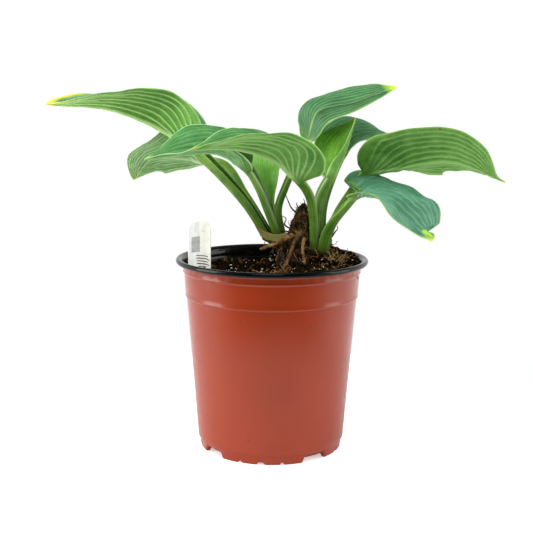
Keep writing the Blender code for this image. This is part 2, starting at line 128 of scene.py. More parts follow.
# the ceiling is dark too, so the black lip stays black
ceiling = add(sky, "ShaderNodeMapRange", Value=split.outputs["Z"], From_Min=0.30, From_Max=0.75,
              To_Min=1.0, To_Max=0.15)
shown = add(sky, "ShaderNodeMath", {"operation": "MULTIPLY"}, Value_0=out(mirrored), Value_1=out(ceiling))
lit = add(sky, "ShaderNodeMix", {"data_type": "FLOAT"}, Factor=ray.outputs["Is Glossy Ray"],
          A=out(front), B=shown.outputs[0])
seen = add(sky, "ShaderNodeMix", {"data_type": "FLOAT"}, Factor=ray.outputs["Is Camera Ray"],
           A=out(lit), B=1.0)
background.inputs["Color"].default_value = (1.0, 1.0, 1.0, 1.0)
sky.links.new(out(seen), background.inputs["Strength"])

LIGHTS = {
    "left_softbox": dict(at=(-0.95, -0.15, 0.42), aim=(0, 0, 0.14), size=(0.55, 1.0), power=9.0),
    "right_softbox": dict(at=(0.95, -0.10, 0.42), aim=(0, 0, 0.14), size=(0.5, 1.0), power=4.2),
    "top_softbox": dict(at=(-0.10, -0.25, 1.25), aim=(0, 0, 0.12), size=(1.0, 1.0), power=6.5),
    "front_strip": dict(at=(-0.05, -0.75, 1.00), aim=(0, 0, 0.16), size=(0.60, 0.04), power=3.0),
}
for name, spec in LIGHTS.items():
    data = bpy.data.lights.new(name, "AREA")
    data.shape = "RECTANGLE"
    data.size, data.size_y = spec["size"]
    data.energy = spec["power"]
    light = bpy.data.objects.new(name, data)
    # the wide top light would show as a grey band on the black lip
    light.visible_glossy = name != "top_softbox"
    light.location = spec["at"]
    aim = Vector(spec["aim"]) - Vector(spec["at"])
    light.rotation_euler = aim.to_track_quat("-Z", "Y").to_euler()
    bpy.context.scene.collection.objects.link(light)
print("lights:", ", ".join(LIGHTS))

# %% [markdown]
# ## Mesh helpers
# Most of this plant is a skin stretched over rings: the pot, a stalk, a leaf, a root. One function turns
# rows of rings into a closed mesh, so the pieces below only have to say where each ring goes.


# %% Rings to mesh
def skin(rings, cap_start=True, cap_end=True):
    """Points and faces through equal rings, capped with a fan at each end that asks for one."""
    rings = [np.asarray(ring, float) for ring in rings]
    count = len(rings[0])
    points = np.concatenate(rings)
    row = np.arange(len(rings) - 1)[:, None] * count
    i = np.arange(count)[None, :]
    j = (i + 1) % count
    quads = np.stack([row + i, row + j, row + count + j, row + count + i], -1).reshape(-1, 4)
    faces = quads.tolist()
    if cap_start:
        faces += [(len(points), (k + 1) % count, k) for k in range(count)]
        points = np.vstack([points, rings[0].mean(axis=0)])
    if cap_end:
        last = (len(rings) - 1) * count
        faces += [(len(points), last + k, last + (k + 1) % count) for k in range(count)]
        points = np.vstack([points, rings[-1].mean(axis=0)])
    return points, faces


def piece(name, points, faces, materials, smooth=True):
    """A mesh object from points in millimetres. The object stays at the origin."""
    mesh = bpy.data.meshes.new(name)
    mesh.from_pydata((np.asarray(points) * MM).tolist(), [], faces)
    for surface in materials:
        mesh.materials.append(surface)
    mesh.polygons.foreach_set("use_smooth", [smooth] * len(mesh.polygons))
    mesh.update()
    obj = bpy.data.objects.new(name, mesh)
    bpy.context.scene.collection.objects.link(obj)
    return obj


def settle(obj, name):
    """The evaluated object as a plain mesh in a new object. The old one is removed."""
    graph = bpy.context.evaluated_depsgraph_get()
    graph.update()
    mesh = bpy.data.meshes.new_from_object(obj.evaluated_get(graph))
    mesh.name = name
    done = bpy.data.objects.new(name, mesh)
    bpy.context.scene.collection.objects.link(done)
    bpy.data.objects.remove(obj, do_unlink=True)
    return done


def attribute(obj, name, values):
    """A number for each point of a mesh, for a material to read."""
    layer = obj.data.attributes.new(name, "FLOAT", "POINT")
    layer.data.foreach_set("value", np.asarray(values, np.float32))


# %% [markdown]
# Stalks, blades and angles all change smoothly between a few given values. The next functions draw a
# curve through such values: the slope at each knot is a mean of the slopes on both sides of it.


# %% Smooth curves
PATH_SAMPLES = 24


def smooth(low, high, x):
    """0 below low, 1 above high and an easy curve between."""
    t = np.clip((np.asarray(x, float) - low) / (high - low), 0, 1)
    return t * t * (3 - 2 * t)


def knot_slopes(values, steps):
    """The slope at each knot of a curve, leaning towards its nearer neighbour."""
    steps = steps.reshape((-1,) + (1,) * (values.ndim - 1))
    slope = np.diff(values, axis=0) / steps
    middle = (slope[:-1] * steps[1:] + slope[1:] * steps[:-1]) / (steps[1:] + steps[:-1])
    return np.concatenate([slope[:1], middle, slope[-1:]])


def hermite(t, start, end, leave, arrive):
    """A curve from start to end that leaves and arrives with these slopes."""
    value = (2 * t**3 - 3 * t**2 + 1) * start + (t**3 - 2 * t**2 + t) * leave
    return value + (3 * t**2 - 2 * t**3) * end + (t**3 - t**2) * arrive


def eased(x, knots, values):
    """A smooth curve through a few values, for an angle that changes along a leaf."""
    knots = np.asarray(knots, float)
    values = np.asarray(values, float)
    steps = np.diff(knots)
    slopes = knot_slopes(values, steps)
    i = np.clip(np.searchsorted(knots, x, side="right") - 1, 0, len(knots) - 2)
    t = (x - knots[i]) / steps[i]
    return hermite(t, values[i], values[i + 1], steps[i] * slopes[i], steps[i] * slopes[i + 1])


def smooth_path(points, samples=PATH_SAMPLES):
    """A smooth line through the points, with as many samples on each span."""
    knots = np.asarray(points, float)
    steps = np.linalg.norm(np.diff(knots, axis=0), axis=1)
    slopes = knot_slopes(knots, steps)
    t = np.linspace(0, 1, samples, endpoint=False)[:, None]
    spans = [hermite(t, knots[i], knots[i + 1], steps[i] * slopes[i], steps[i] * slopes[i + 1])
             for i in range(len(steps))]
    return np.concatenate(spans + [knots[-1:]])


def along(line, fractions):
    """Points at these fractions of a line's length."""
    steps = np.linalg.norm(np.diff(line, axis=0), axis=1)
    travelled = np.concatenate([[0], np.cumsum(steps)])
    travelled = travelled / travelled[-1]
    return np.stack([np.interp(fractions, travelled, line[:, k]) for k in range(3)], -1)


# %% [markdown]
# ## The pot
# The pot is black and red plastic sheet, heated and drawn into a mould: red outside, black inside, with
# a lip rolled outwards. It could be a cylinder with loops cut in, but the mould leaves soft steps, faint
# pleats under the lip and scalloped feet. A skin of rings follows them all: each ring is a circle whose
# radius and height the mould's shape decides.

# %% Pot sizes
POT_HEIGHT = 165.0
LIP_RADIUS = 82.3
LIP_HEIGHT = 4.6
WALL = 1.1
FOOT_HEIGHT = 8.7
FOOT_RADIUS = 61.0
UPPER_RING = 153.5
LOWER_RING = 132.6
FEET = 4
FOOT_GAP_DEG = 22.0
FIRST_GAP_DEG = -53.0
GAP_RISE = 5.5
AROUND = 288


def wall_radius(z):
    """Outer radius of the wall between the foot and the lip."""
    knots = (0.0, FOOT_HEIGHT, LOWER_RING, LOWER_RING + 0.8, UPPER_RING, UPPER_RING + 0.8, POT_HEIGHT)
    return float(np.interp(z, knots, (62.6, 63.2, 73.2, 74.0, 75.4, 76.0, 76.4)))


def foot_rise(turn):
    """How far the underside of the feet lifts off the ground at this angle."""
    each = 360 / FEET
    place = (np.degrees(turn) + 90 - FIRST_GAP_DEG) % each
    from_gap = np.minimum(place, each - place)
    rise = GAP_RISE * (1 - smooth(FOOT_GAP_DEG / 2 - 2.0, FOOT_GAP_DEG / 2 + 0.8, from_gap))
    # a flat notch in the middle of each foot, and a pointed one on either side of it
    from_middle = place - each / 2
    rise = np.maximum(rise, 1.9 * (1 - smooth(2.2, 3.4, np.abs(from_middle))))
    for side in (-17.0, 17.0):
        rise = np.maximum(rise, 2.6 * np.clip(1 - np.abs(from_middle - side) / 1.8, 0, 1))
    return rise


# %% Pot skin
def pot_rows():
    """The mould's profile as (radius, height, share of the foot rise, pleat depth, 0 red or 1 black)."""
    top = POT_HEIGHT
    lip = top - LIP_HEIGHT
    rows = [(20.0, 3.5, 0, 0, 0), (56.0, 3.5, 0, 0, 0), (56.8, 3.0, 0, 0, 0), (57.4, 0.5, 1, 0, 0),
            (58.0, 0.0, 1, 0, 0), (60.2, 0.0, 1, 0, 0), (61.0, 0.5, 1, 0, 0), (61.2, 1.2, 1, 0, 0),
            (61.6, FOOT_HEIGHT - 1.0, 0, 0, 0), (61.9, FOOT_HEIGHT - 0.3, 0, 0, 0),
            (wall_radius(FOOT_HEIGHT) - 0.3, FOOT_HEIGHT, 0, 0, 0),
            (wall_radius(FOOT_HEIGHT + 0.5), FOOT_HEIGHT + 0.5, 0, 0, 0)]
    rows += [(wall_radius(z), z, 0, 0, 0) for z in np.linspace(14.0, LOWER_RING - 1.2, 22)]
    for ring in (LOWER_RING, UPPER_RING):
        # a small rounded bead on a step outwards
        rows += [(wall_radius(ring - 0.6), ring - 0.6, 0, 0, 0),
                 (wall_radius(ring) + 0.25, ring - 0.1, 0, 0, 0),
                 (wall_radius(ring + 0.8) + 0.30, ring + 0.5, 0, 0, 0),
                 (wall_radius(ring + 0.8) + 0.18, ring + 1.0, 0, 0, 0),
                 (wall_radius(ring + 0.8), ring + 1.5, 0, 0, 0)]
        if ring == LOWER_RING:
            rows += [(wall_radius(z), z, 0, 0, 0) for z in (138.0, 143.0, 148.0, UPPER_RING - 1.4)]
    rows += [(wall_radius(z), z, 0, 0.28, 0) for z in (156.0, 157.5, 159.0)]
    rows += [(76.6, lip - 0.4, 0, 0.28, 0), (77.2, lip - 0.1, 0, 0, 0), (77.6, lip + 0.1, 0, 0, 1)]
    for k in range(13):
        # the lip turns over like a flattened roll
        turn = pi * (k / 12) - pi / 2
        rows.append((LIP_RADIUS - 1.9 + 1.9 * cos(turn), lip + 2.2 + 2.2 * sin(turn), 0, 0, 1))
    # inside, a narrow ledge follows the upper bead down
    inner = [(LIP_RADIUS - 3.2, top - 0.35), (LIP_RADIUS - 4.6, top - 1.0), (76.4, top - 2.4),
             (75.6, top - 4.4), (75.3, 157.0), (75.1, UPPER_RING + 0.9), (74.8, UPPER_RING + 0.4),
             (73.9, UPPER_RING + 0.1), (73.7, UPPER_RING - 0.6), (73.0, LOWER_RING + 1.0),
             (72.0, LOWER_RING - 0.6)]
    inner += [(wall_radius(z) - WALL, z) for z in (110.0, 70.0, 30.0)]
    inner += [(wall_radius(FOOT_HEIGHT) - WALL - 1.0, 9.6), (20.0, 9.5)]
    return rows + [(radius, z, 0, 0, 1) for radius, z in inner]


def pot_shell(red, black):
    """The skin of the pot from the middle of its underside, over the lip, to the middle of its floor."""
    turn = np.linspace(0, 2 * pi, AROUND, endpoint=False)[::-1]
    rise = foot_rise(turn)
    rows = pot_rows()[::-1]
    rings = []
    for radius, z, foot, pleat, _ in rows:
        here = radius - pleat * (0.5 + 0.5 * np.cos(turn * 48)) ** 3
        rings.append(np.stack([here * np.cos(turn), here * np.sin(turn), z + foot * rise], -1))
    points, faces = skin(rings)
    made = piece("pot_moulding", points, faces, (red, black))
    colour = [rows[min(k // AROUND, len(rows) - 2) + 1][4] for k in range(AROUND * (len(rows) - 1))]
    colour += [1] * AROUND + [0] * AROUND
    made.data.polygons.foreach_set("material_index", colour)
    return made


# %% [markdown]
# Terracotta-red polypropylene from a mould: glossy but never perfect. The sheet cools with a faint
# ripple, and handling leaves a little dust and soil. Small dark flecks are the soil.

# %% Pot plastics
def pot_plastic(name, body, shade, gloss, flecks, body_shine, polish, clear):
    """Moulded plastic with a soft ripple, a cloudy tone and a few specks of soil.

    gloss is the sheet's roughness and body_shine its mirror share. polish is how much clear skin
    lies over it, and clear is the roughness of that skin.
    """
    made, tree, shader = new_surface(name)
    where = add(tree, "ShaderNodeTexCoord").outputs["Object"]
    # slow clouds about 40 mm wide, where the sheet stretched more or less
    cloud = add(tree, "ShaderNodeTexNoise", Vector=where, Scale=25.0, Detail=3.0, Roughness=0.5)
    tone = add(tree, "ShaderNodeMix", {"data_type": "RGBA"}, Factor=cloud.outputs["Fac"],
               A=linear(body), B=linear(shade))
    # specks about 0.6 mm wide, a few on each hand's width of wall
    speck = add(tree, "ShaderNodeTexVoronoi", Vector=where, Scale=160.0, Randomness=1.0)
    small = add(tree, "ShaderNodeMath", {"operation": "LESS_THAN"},
                Value_0=speck.outputs["Distance"], Value_1=0.11)
    chosen = add(tree, "ShaderNodeSeparateColor", Color=speck.outputs["Color"])
    rare = add(tree, "ShaderNodeMath", {"operation": "GREATER_THAN"},
               Value_0=chosen.outputs["Red"], Value_1=1.0 - flecks)
    dirt = add(tree, "ShaderNodeMath", {"operation": "MULTIPLY"},
               Value_0=small.outputs[0], Value_1=rare.outputs[0])
    colour = add(tree, "ShaderNodeMix", {"data_type": "RGBA"}, Factor=dirt.outputs[0],
                 A=out(tone), B=linear("#3A2A1C"))
    tree.links.new(out(colour), shader.inputs["Base Color"])
    # scuffs and dust change the gloss in patches about 8 mm wide
    scuff = add(tree, "ShaderNodeTexNoise", Vector=where, Scale=120.0, Detail=6.0, Roughness=0.65)
    dull = add(tree, "ShaderNodeMapRange", Value=scuff.outputs["Fac"], From_Min=0.3, From_Max=0.75,
               To_Min=gloss, To_Max=gloss + 0.14)
    tree.links.new(out(dull), shader.inputs["Roughness"])
    # the ripple of cooled sheet, about 6 mm from crest to crest and hardly deep at all
    ripple = add(tree, "ShaderNodeTexNoise", Vector=where, Scale=160.0, Detail=1.0)
    bump = add(tree, "ShaderNodeBump", Strength=0.06, Distance=0.0004, Height=ripple.outputs["Fac"])
    tree.links.new(bump.outputs["Normal"], shader.inputs["Normal"])
    shader.inputs["Specular IOR Level"].default_value = body_shine
    # the mould's polish leaves a clearer skin over the coloured sheet
    shader.inputs["Coat Weight"].default_value = polish
    shader.inputs["Coat Roughness"].default_value = clear
    shader.inputs["Coat IOR"].default_value = 1.49
    return made


red_plastic = pot_plastic("terracotta_polypropylene_moulded", "#943008", "#862805", gloss=0.36, flecks=0.035,
                          body_shine=0.12, polish=0.62, clear=0.20)
black_plastic = pot_plastic("black_polypropylene_moulded", "#050506", "#030303", gloss=0.34, flecks=0.06,
                            body_shine=0.04, polish=0.42, clear=0.06)
moulding = pot_shell(red_plastic, black_plastic)
print("moulding faces:", len(moulding.data.polygons))

# %% [markdown]
# Four round holes in the floor let the water out. The cutter is four cylinders in one mesh, and a
# Boolean modifier takes them from the moulding in one go.

# %% Drain holes
DRAIN_CIRCLE = 44.0
DRAIN_RADIUS = 5.0
DRILL_FROM, DRILL_TO = -4.0, 16.0
turn = np.linspace(0, 2 * pi, 40, endpoint=False)
points, faces = [], []
for k in range(FEET):
    at = radians(FIRST_GAP_DEG - 90 + 45 + 90 * k)
    centre = np.array((DRAIN_CIRCLE * cos(at), DRAIN_CIRCLE * sin(at), 0.0))
    ring = centre + DRAIN_RADIUS * np.stack([np.cos(turn), np.sin(turn), 0 * turn], -1)
    more, sides = skin([ring + (0, 0, DRILL_FROM), ring + (0, 0, DRILL_TO)])
    faces += [tuple(i + len(points) for i in face) for face in sides]
    points += more.tolist()
drills = piece("drain_cutter", points, faces, (black_plastic,))
drilling = moulding.modifiers.new("drain_holes", "BOOLEAN")
drilling.operation = "DIFFERENCE"
drilling.solver = "EXACT"
drilling.object = drills
pot = settle(moulding, "moulded_pot")
bpy.data.objects.remove(drills, do_unlink=True)
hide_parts("nursery_pot")
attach(pot, "root")
print("pot faces:", len(pot.data.polygons))

# %% [markdown]
# ## The soil
# Potting mix is moist peat with crumbs of bark and white grains of perlite. A real surface is not a
# sheet but a heap of loose bits. The base is a disc of rings pushed up and down by noise, and Geometry
# Nodes scatter crumbs, bark and perlite over it, because a rule places thousands of bits better
# than hands do.

# %% Soil shape
SOIL_LOW = 151.5
SOIL_HIGH = 160.5
MOUND = 12.0
MOUND_AT = (44.0, 9.0)
MOUND_RADIUS = 25.0


def soil_height(x, y):
    """Top of the soil: low on the left, banked up on the right and round the crown."""
    level = SOIL_LOW + (SOIL_HIGH - SOIL_LOW) * smooth(-8.0, 26.0, x)
    away = np.hypot(x - MOUND_AT[0], y - MOUND_AT[1]) / MOUND_RADIUS
    lumps = 0.8 * np.sin(0.21 * x + 0.6) * np.cos(0.17 * y) + 0.5 * np.sin(0.43 * y + 0.2 * x)
    return level + MOUND * np.exp(-(away**2)) + lumps


def soil_body(surface):
    """A closed plug of soil whose top is broken up by lumps of two sizes."""
    around = 200
    turn = np.linspace(0, 2 * pi, around, endpoint=False)
    rings = []
    for radius, z in ((56.0, 9.9), (61.0, 9.9), (62.5, 20.0), (68.5, 100.0), (71.2, 131.0)):
        rings.append(np.stack([radius * np.cos(turn), radius * np.sin(turn), np.full(around, z)], -1))
    for radius in np.linspace(73.4, 1.0, 64):
        x = radius * np.cos(turn)
        y = radius * np.sin(turn)
        z = soil_height(x, y)
        # lumps about 6 mm and 2 mm across
        rough = [1.7 * noise.noise(Vector((a, b, 3.0)) * 0.16)
                 + 1.1 * noise.noise(Vector((a, b, 9.0)) * 0.55) for a, b in zip(x, y)]
        rings.append(np.stack([x, y, z + np.array(rough)], -1))
    points, faces = skin(rings)
    return piece("soil_bed", points, faces, (surface,))


# %% [markdown]
# Moist peat is nearly black with warm brown fibres. It is rough at every scale, so both its colour and
# its bump come from noise: one of crumb size, one of dust size.

# %% Soil material
def loose_matter(name, dark, light, grain_mm, rough, depth):
    """Dull organic crumbs: two tones mixed by noise the size of a grain, and a strong bump."""
    made, tree, shader = new_surface(name)
    where = add(tree, "ShaderNodeTexCoord").outputs["Object"]
    grain = add(tree, "ShaderNodeTexNoise", Vector=where, Scale=1000.0 / grain_mm, Detail=5.0, Roughness=0.7)
    spread = add(tree, "ShaderNodeMapRange", Value=grain.outputs["Fac"], From_Min=0.42, From_Max=0.70)
    tone = add(tree, "ShaderNodeMix", {"data_type": "RGBA"}, Factor=out(spread),
               A=linear(dark), B=linear(light))
    tree.links.new(out(tone), shader.inputs["Base Color"])
    shader.inputs["Roughness"].default_value = rough
    shader.inputs["Specular IOR Level"].default_value = 0.0
    fine = add(tree, "ShaderNodeTexNoise", Vector=where, Scale=3000.0 / grain_mm, Detail=3.0)
    bump = add(tree, "ShaderNodeBump", Strength=0.8, Distance=depth * MM, Height=fine.outputs["Fac"])
    tree.links.new(bump.outputs["Normal"], shader.inputs["Normal"])
    return made


peat = loose_matter("moist_peat", "#040302", "#120C07", 2.0, 0.95, 0.6)
crumb_peat = loose_matter("peat_and_bark_crumb", "#040302", "#37281A", 3.0, 0.95, 0.4)
bark = loose_matter("composted_bark_chip", "#2A1C0E", "#8A6A42", 2.5, 0.9, 0.3)
straw = loose_matter("pale_root_straw", "#84693C", "#CDBA86", 2.0, 0.8, 0.2)
perlite = loose_matter("expanded_perlite", "#C9C4B4", "#FBF9F2", 1.0, 0.75, 0.2)
soil = soil_body(peat)
print("soil faces:", len(soil.data.polygons))

# %% [markdown]
# ## Scattering crumbs with Geometry Nodes
# The scatter tree drops points on the top of the soil, puts a small rough stone on each, turns and
# sizes it at random and then makes everything real. Its inputs are the number of pieces on each square
# metre, their smallest and largest size, how flat they are and the seed. Only faces that look upwards
# get points, so nothing lands on the buried sides.


# %% Scatter tree
def geometry_tree(name, inputs):
    """A Geometry Nodes tree with geometry in and out and the named inputs: their kinds and values.

    It comes with the identifier of each input and with the sockets that give the values.
    """
    tree = bpy.data.node_groups.new(name, "GeometryNodeTree")
    for way in ("OUTPUT", "INPUT"):
        tree.interface.new_socket(name="Geometry", in_out=way, socket_type="NodeSocketGeometry")
    sockets = {}
    for label, (kind, value) in inputs.items():
        socket = tree.interface.new_socket(name=label, in_out="INPUT", socket_type="NodeSocket" + kind)
        socket.default_value = value
        sockets[label] = socket.identifier
    return tree, sockets, add(tree, "NodeGroupInput").outputs


def grown(carrier, name, tree, sockets, sizes):
    """What a tree makes of its carrier with these values, as a plain mesh. The carrier is removed."""
    bpy.context.scene.collection.objects.link(carrier)
    modifier = carrier.modifiers.new(name, "NODES")
    modifier.node_group = tree
    for label, value in sizes.items():
        modifier[sockets[label.replace("_", " ")]] = value
    made = settle(carrier, name)
    print(name, "faces:", len(made.data.polygons))
    return made


def scatter_tree(surface):
    """Points on the upward faces, a rough pebble on each, made real and given one material."""
    tree, sockets, given = geometry_tree("scatter_" + surface.name, {
        "Density": ("Float", 1000.0), "Smallest": ("Float", 0.001), "Largest": ("Float", 0.003),
        "Shape": ("Vector", (1.0, 1.0, 1.0)), "Rough": ("Float", 0.5), "Lift": ("Float", 0.0),
        "Seed": ("Int", 0)})
    face_normal = add(tree, "GeometryNodeInputNormal").outputs["Normal"]
    facing = add(tree, "ShaderNodeSeparateXYZ", Vector=face_normal)
    upward = add(tree, "FunctionNodeCompare", {"operation": "GREATER_THAN"}, A=facing.outputs["Z"], B=0.35)
    points = add(tree, "GeometryNodeDistributePointsOnFaces", Mesh=given["Geometry"],
                 Density=given["Density"], Seed=given["Seed"], Selection=out(upward))
    pebble = add(tree, "GeometryNodeMeshIcoSphere", Radius=0.5, Subdivisions=1)
    turn = add(tree, "FunctionNodeRandomValue", {"data_type": "FLOAT_VECTOR"},
               Min=(0, 0, 0), Max=(6.28, 6.28, 6.28), Seed=given["Seed"])
    size = add(tree, "FunctionNodeRandomValue", {"data_type": "FLOAT"}, Min=0.0, Max=1.0, Seed=given["Seed"])
    # squaring the random number makes many small pieces and few large ones
    few = add(tree, "ShaderNodeMath", {"operation": "POWER"}, Value_0=size.outputs["Value"], Value_1=2.2)
    mixed = add(tree, "ShaderNodeMix", {"data_type": "FLOAT"}, Factor=few.outputs[0],
                A=given["Smallest"], B=given["Largest"])
    scale = add(tree, "ShaderNodeVectorMath", {"operation": "SCALE"}, Vector=given["Shape"],
                Scale=out(mixed))
    placed = add(tree, "GeometryNodeInstanceOnPoints", Points=points.outputs["Points"],
                 Instance=pebble.outputs["Mesh"], Rotation=turn.outputs["Value"],
                 Scale=scale.outputs["Vector"])
    real = add(tree, "GeometryNodeRealizeInstances", Geometry=placed.outputs["Instances"])
    # a coarse noise bites each pebble into a crumb
    bite = add(tree, "ShaderNodeTexNoise", Vector=add(tree, "GeometryNodeInputPosition").outputs["Position"],
               Scale=900.0, Detail=1.0)
    centred = add(tree, "ShaderNodeVectorMath", {"operation": "SUBTRACT"}, Vector_0=bite.outputs["Color"],
                  Vector_1=(0.5, 0.5, 0.5))
    push = add(tree, "ShaderNodeMath", {"operation": "MULTIPLY"},
               Value_0=given["Rough"], Value_1=given["Smallest"])
    shift = add(tree, "ShaderNodeVectorMath", {"operation": "SCALE"}, Vector=centred.outputs["Vector"],
                Scale=push.outputs[0])
    raised = add(tree, "ShaderNodeCombineXYZ", Z=given["Lift"])
    offset = add(tree, "ShaderNodeVectorMath", {"operation": "ADD"}, Vector_0=shift.outputs["Vector"],
                 Vector_1=raised.outputs["Vector"])
    moved = add(tree, "GeometryNodeSetPosition", Geometry=real.outputs["Geometry"],
                Offset=offset.outputs["Vector"])
    named = add(tree, "GeometryNodeSetMaterial", Geometry=moved.outputs["Geometry"], Material=surface)
    result = add(tree, "NodeGroupOutput")
    tree.links.new(named.outputs["Geometry"], result.inputs[0])
    return tree, sockets


def scatter(name, base, surface, **sizes):
    """Runs the scatter tree on a copy of a piece and keeps only the scattered bits."""
    copy = bpy.data.objects.new(name + "_carrier", base.data.copy())
    tree, sockets = scatter_tree(surface)
    made = grown(copy, name, tree, sockets, sizes)
    made.data.polygons.foreach_set("use_smooth", [False] * len(made.data.polygons))
    return made


# %% Loose soil
LOOSE = [
    ("soil_crumbs", crumb_peat, dict(Density=330000.0, Smallest=0.0009, Largest=0.0042, Rough=1.6, Seed=3)),
    ("bark_chips", bark, dict(Density=16000.0, Smallest=0.0015, Largest=0.0065, Shape=(1.6, 0.8, 0.45),
                              Rough=0.9, Lift=0.0004, Seed=11)),
    ("perlite_grains", perlite, dict(Density=9000.0, Smallest=0.0006, Largest=0.0024, Rough=1.3,
                                     Lift=0.0006, Seed=23)),
]
loose = [scatter(name, soil, surface, **sizes) for name, surface, sizes in LOOSE]
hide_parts("potting_soil")
for made in [soil] + loose:
    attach(made, "root")

# %% [markdown]
# ## The label
# The label is a strip of thin polystyrene, bowed along its length, with a rounded top and a narrow foot
# that is pushed into the soil. Its print is left generic: a grey block of bars and a few plain grey
# lines. The strip carries its own UV map, so the print follows the bow.

# %% Label strip
LABEL_WIDTH = 20.0
LABEL_TOP = 195.0
LABEL_SHOULDER = 152.0
LABEL_FOOT = 127.0
LABEL_AT = (-62.5, 4.0)
LABEL_TURN = radians(-8.0)
LABEL_BOW = 2.2
LABEL_THICK = 0.35


def label_strip(surface):
    """A bowed strip, front and back skins joined round the edge."""
    across = np.linspace(-1, 1, 25)
    up = np.linspace(0, 1, 61)
    front = np.zeros((len(up), len(across), 3))
    for r, level in enumerate(up):
        for c, u in enumerate(across):
            # the top corners are rounded and the part under the soil narrows
            corner = 8.0 * (1 - np.sqrt(max(0.0, 1 - abs(u) ** 3)))
            top = LABEL_TOP - corner
            z = LABEL_FOOT + (top - LABEL_FOOT) * level
            share = 0.45 + 0.55 * float(np.clip((z - LABEL_FOOT) / (LABEL_SHOULDER - LABEL_FOOT), 0, 1))
            half = LABEL_WIDTH / 2 * share
            x = half * u
            crease = 0.7 * np.exp(-((x + 0.6) / 1.6) ** 2)
            y = LABEL_BOW * (1 - (share * u) ** 2) + crease
            front[r, c] = (LABEL_AT[0] + x * cos(LABEL_TURN) - y * sin(LABEL_TURN),
                           LABEL_AT[1] + x * sin(LABEL_TURN) + y * cos(LABEL_TURN), z)
    back = front + np.array((0.0, LABEL_THICK, 0.0))
    rows, columns = len(up), len(across)
    points = np.concatenate([front.reshape(-1, 3), back.reshape(-1, 3)])
    faces = []
    other = rows * columns
    for r in range(rows - 1):
        for c in range(columns - 1):
            a = r * columns + c
            faces.append((a, a + 1, a + columns + 1, a + columns))
            faces.append((other + a, other + a + columns, other + a + columns + 1, other + a + 1))
        left = r * columns
        right = left + columns - 1
        faces.append((left, left + columns, other + left + columns, other + left))
        faces.append((right, other + right, other + right + columns, right + columns))
    for c in range(columns - 1):
        top = (rows - 1) * columns + c
        faces.append((c, other + c, other + c + 1, c + 1))
        faces.append((top, top + 1, other + top + 1, other + top))
    made = piece("label_strip", points, faces, (surface,))
    uv = np.tile(np.stack(np.meshgrid((across + 1) / 2, up), -1).reshape(-1, 2), (2, 1))
    # the back of the strip lies two widths further along the map, where nothing is printed
    uv[other:, 0] += 2.0
    layer = made.data.uv_layers.new(name="strip")
    corners = np.zeros(len(made.data.loops), int)
    made.data.loops.foreach_get("vertex_index", corners)
    layer.data.foreach_set("uv", uv[corners].astype(np.float32).ravel())
    return made


# %% [markdown]
# White polystyrene sheet, a little see-through and dusty. One side of the crease is painted darker and warmer
# as painted shade, and the sheet glows a little with painted light. The print is drawn by comparing the UV
# with a few boxes.


# %% Label material
def box_mask(tree, u, v, low, high):
    """1 inside a box of UV space and 0 outside it."""
    sides = [("GREATER_THAN", u, low[0]), ("LESS_THAN", u, high[0]),
             ("GREATER_THAN", v, low[1]), ("LESS_THAN", v, high[1])]
    value = None
    for operation, axis, limit in sides:
        test = add(tree, "ShaderNodeMath", {"operation": operation}, Value_0=axis, Value_1=limit).outputs[0]
        if value is not None:
            test = add(tree, "ShaderNodeMath", {"operation": "MULTIPLY"},
                       Value_0=value, Value_1=test).outputs[0]
        value = test
    return value


label_sheet, tree, shader = new_surface("white_polystyrene_label")
strip_map = add(tree, "ShaderNodeUVMap", {"uv_map": "strip"}).outputs["UV"]
uv = add(tree, "ShaderNodeSeparateXYZ", Vector=strip_map)
u, v = uv.outputs["X"], uv.outputs["Y"]
where = add(tree, "ShaderNodeTexCoord").outputs["Object"]
# painted shade: the half beyond the crease is painted darker and warmer
shaded_half = add(tree, "ShaderNodeMapRange", Value=u, From_Min=0.42, From_Max=0.52)
base = add(tree, "ShaderNodeMix", {"data_type": "RGBA"}, Factor=out(shaded_half),
           A=linear("#F6F8F6"), B=linear("#DEDDD2"))
dust = add(tree, "ShaderNodeTexNoise", Vector=where, Scale=260.0, Detail=6.0, Roughness=0.75)
dusty = add(tree, "ShaderNodeMapRange", Value=dust.outputs["Fac"], From_Min=0.50, From_Max=0.72, To_Max=0.60)
soiled = add(tree, "ShaderNodeMix", {"data_type": "RGBA"}, Factor=out(dusty),
             A=out(base), B=linear("#A8A294"))
# bars about 0.5 mm wide inside a plain block, and five plain lines below it
bars = add(tree, "ShaderNodeTexWave", {"wave_type": "BANDS", "bands_direction": "X"},
           Vector=strip_map, Scale=9.0)
dark_bar = add(tree, "ShaderNodeMath", {"operation": "GREATER_THAN"},
               Value_0=bars.outputs["Fac"], Value_1=0.45)
block = box_mask(tree, u, v, (0.14, 0.60), (0.50, 0.80))
ink = add(tree, "ShaderNodeMath", {"operation": "MULTIPLY"},
          Value_0=block, Value_1=dark_bar.outputs[0]).outputs[0]
PRINT_LINES = [((0.34, 0.550), (0.86, 0.562)), ((0.36, 0.515), (0.94, 0.528)), ((0.38, 0.480), (0.84, 0.492)),
               ((0.36, 0.445), (0.92, 0.458)), ((0.42, 0.410), (0.80, 0.422))]
for low, high in PRINT_LINES:
    line = box_mask(tree, u, v, low, high)
    ink = add(tree, "ShaderNodeMath", {"operation": "MAXIMUM"}, Value_0=ink, Value_1=line).outputs[0]
printed = add(tree, "ShaderNodeMix", {"data_type": "RGBA"}, Factor=ink, A=out(soiled), B=linear("#4A4B4C"))
tree.links.new(out(printed), shader.inputs["Base Color"])
worn = add(tree, "ShaderNodeMapRange", Value=dust.outputs["Fac"], To_Min=0.30, To_Max=0.55)
tree.links.new(out(worn), shader.inputs["Roughness"])
# painted light: the label glows with its own colours, standing in for the room's light shining through the
# thin sheet
tree.links.new(out(printed), shader.inputs["Emission Color"])
shader.inputs["Emission Strength"].default_value = 0.42
label = label_strip(label_sheet)
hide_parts("plant_label")
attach(label, "root")

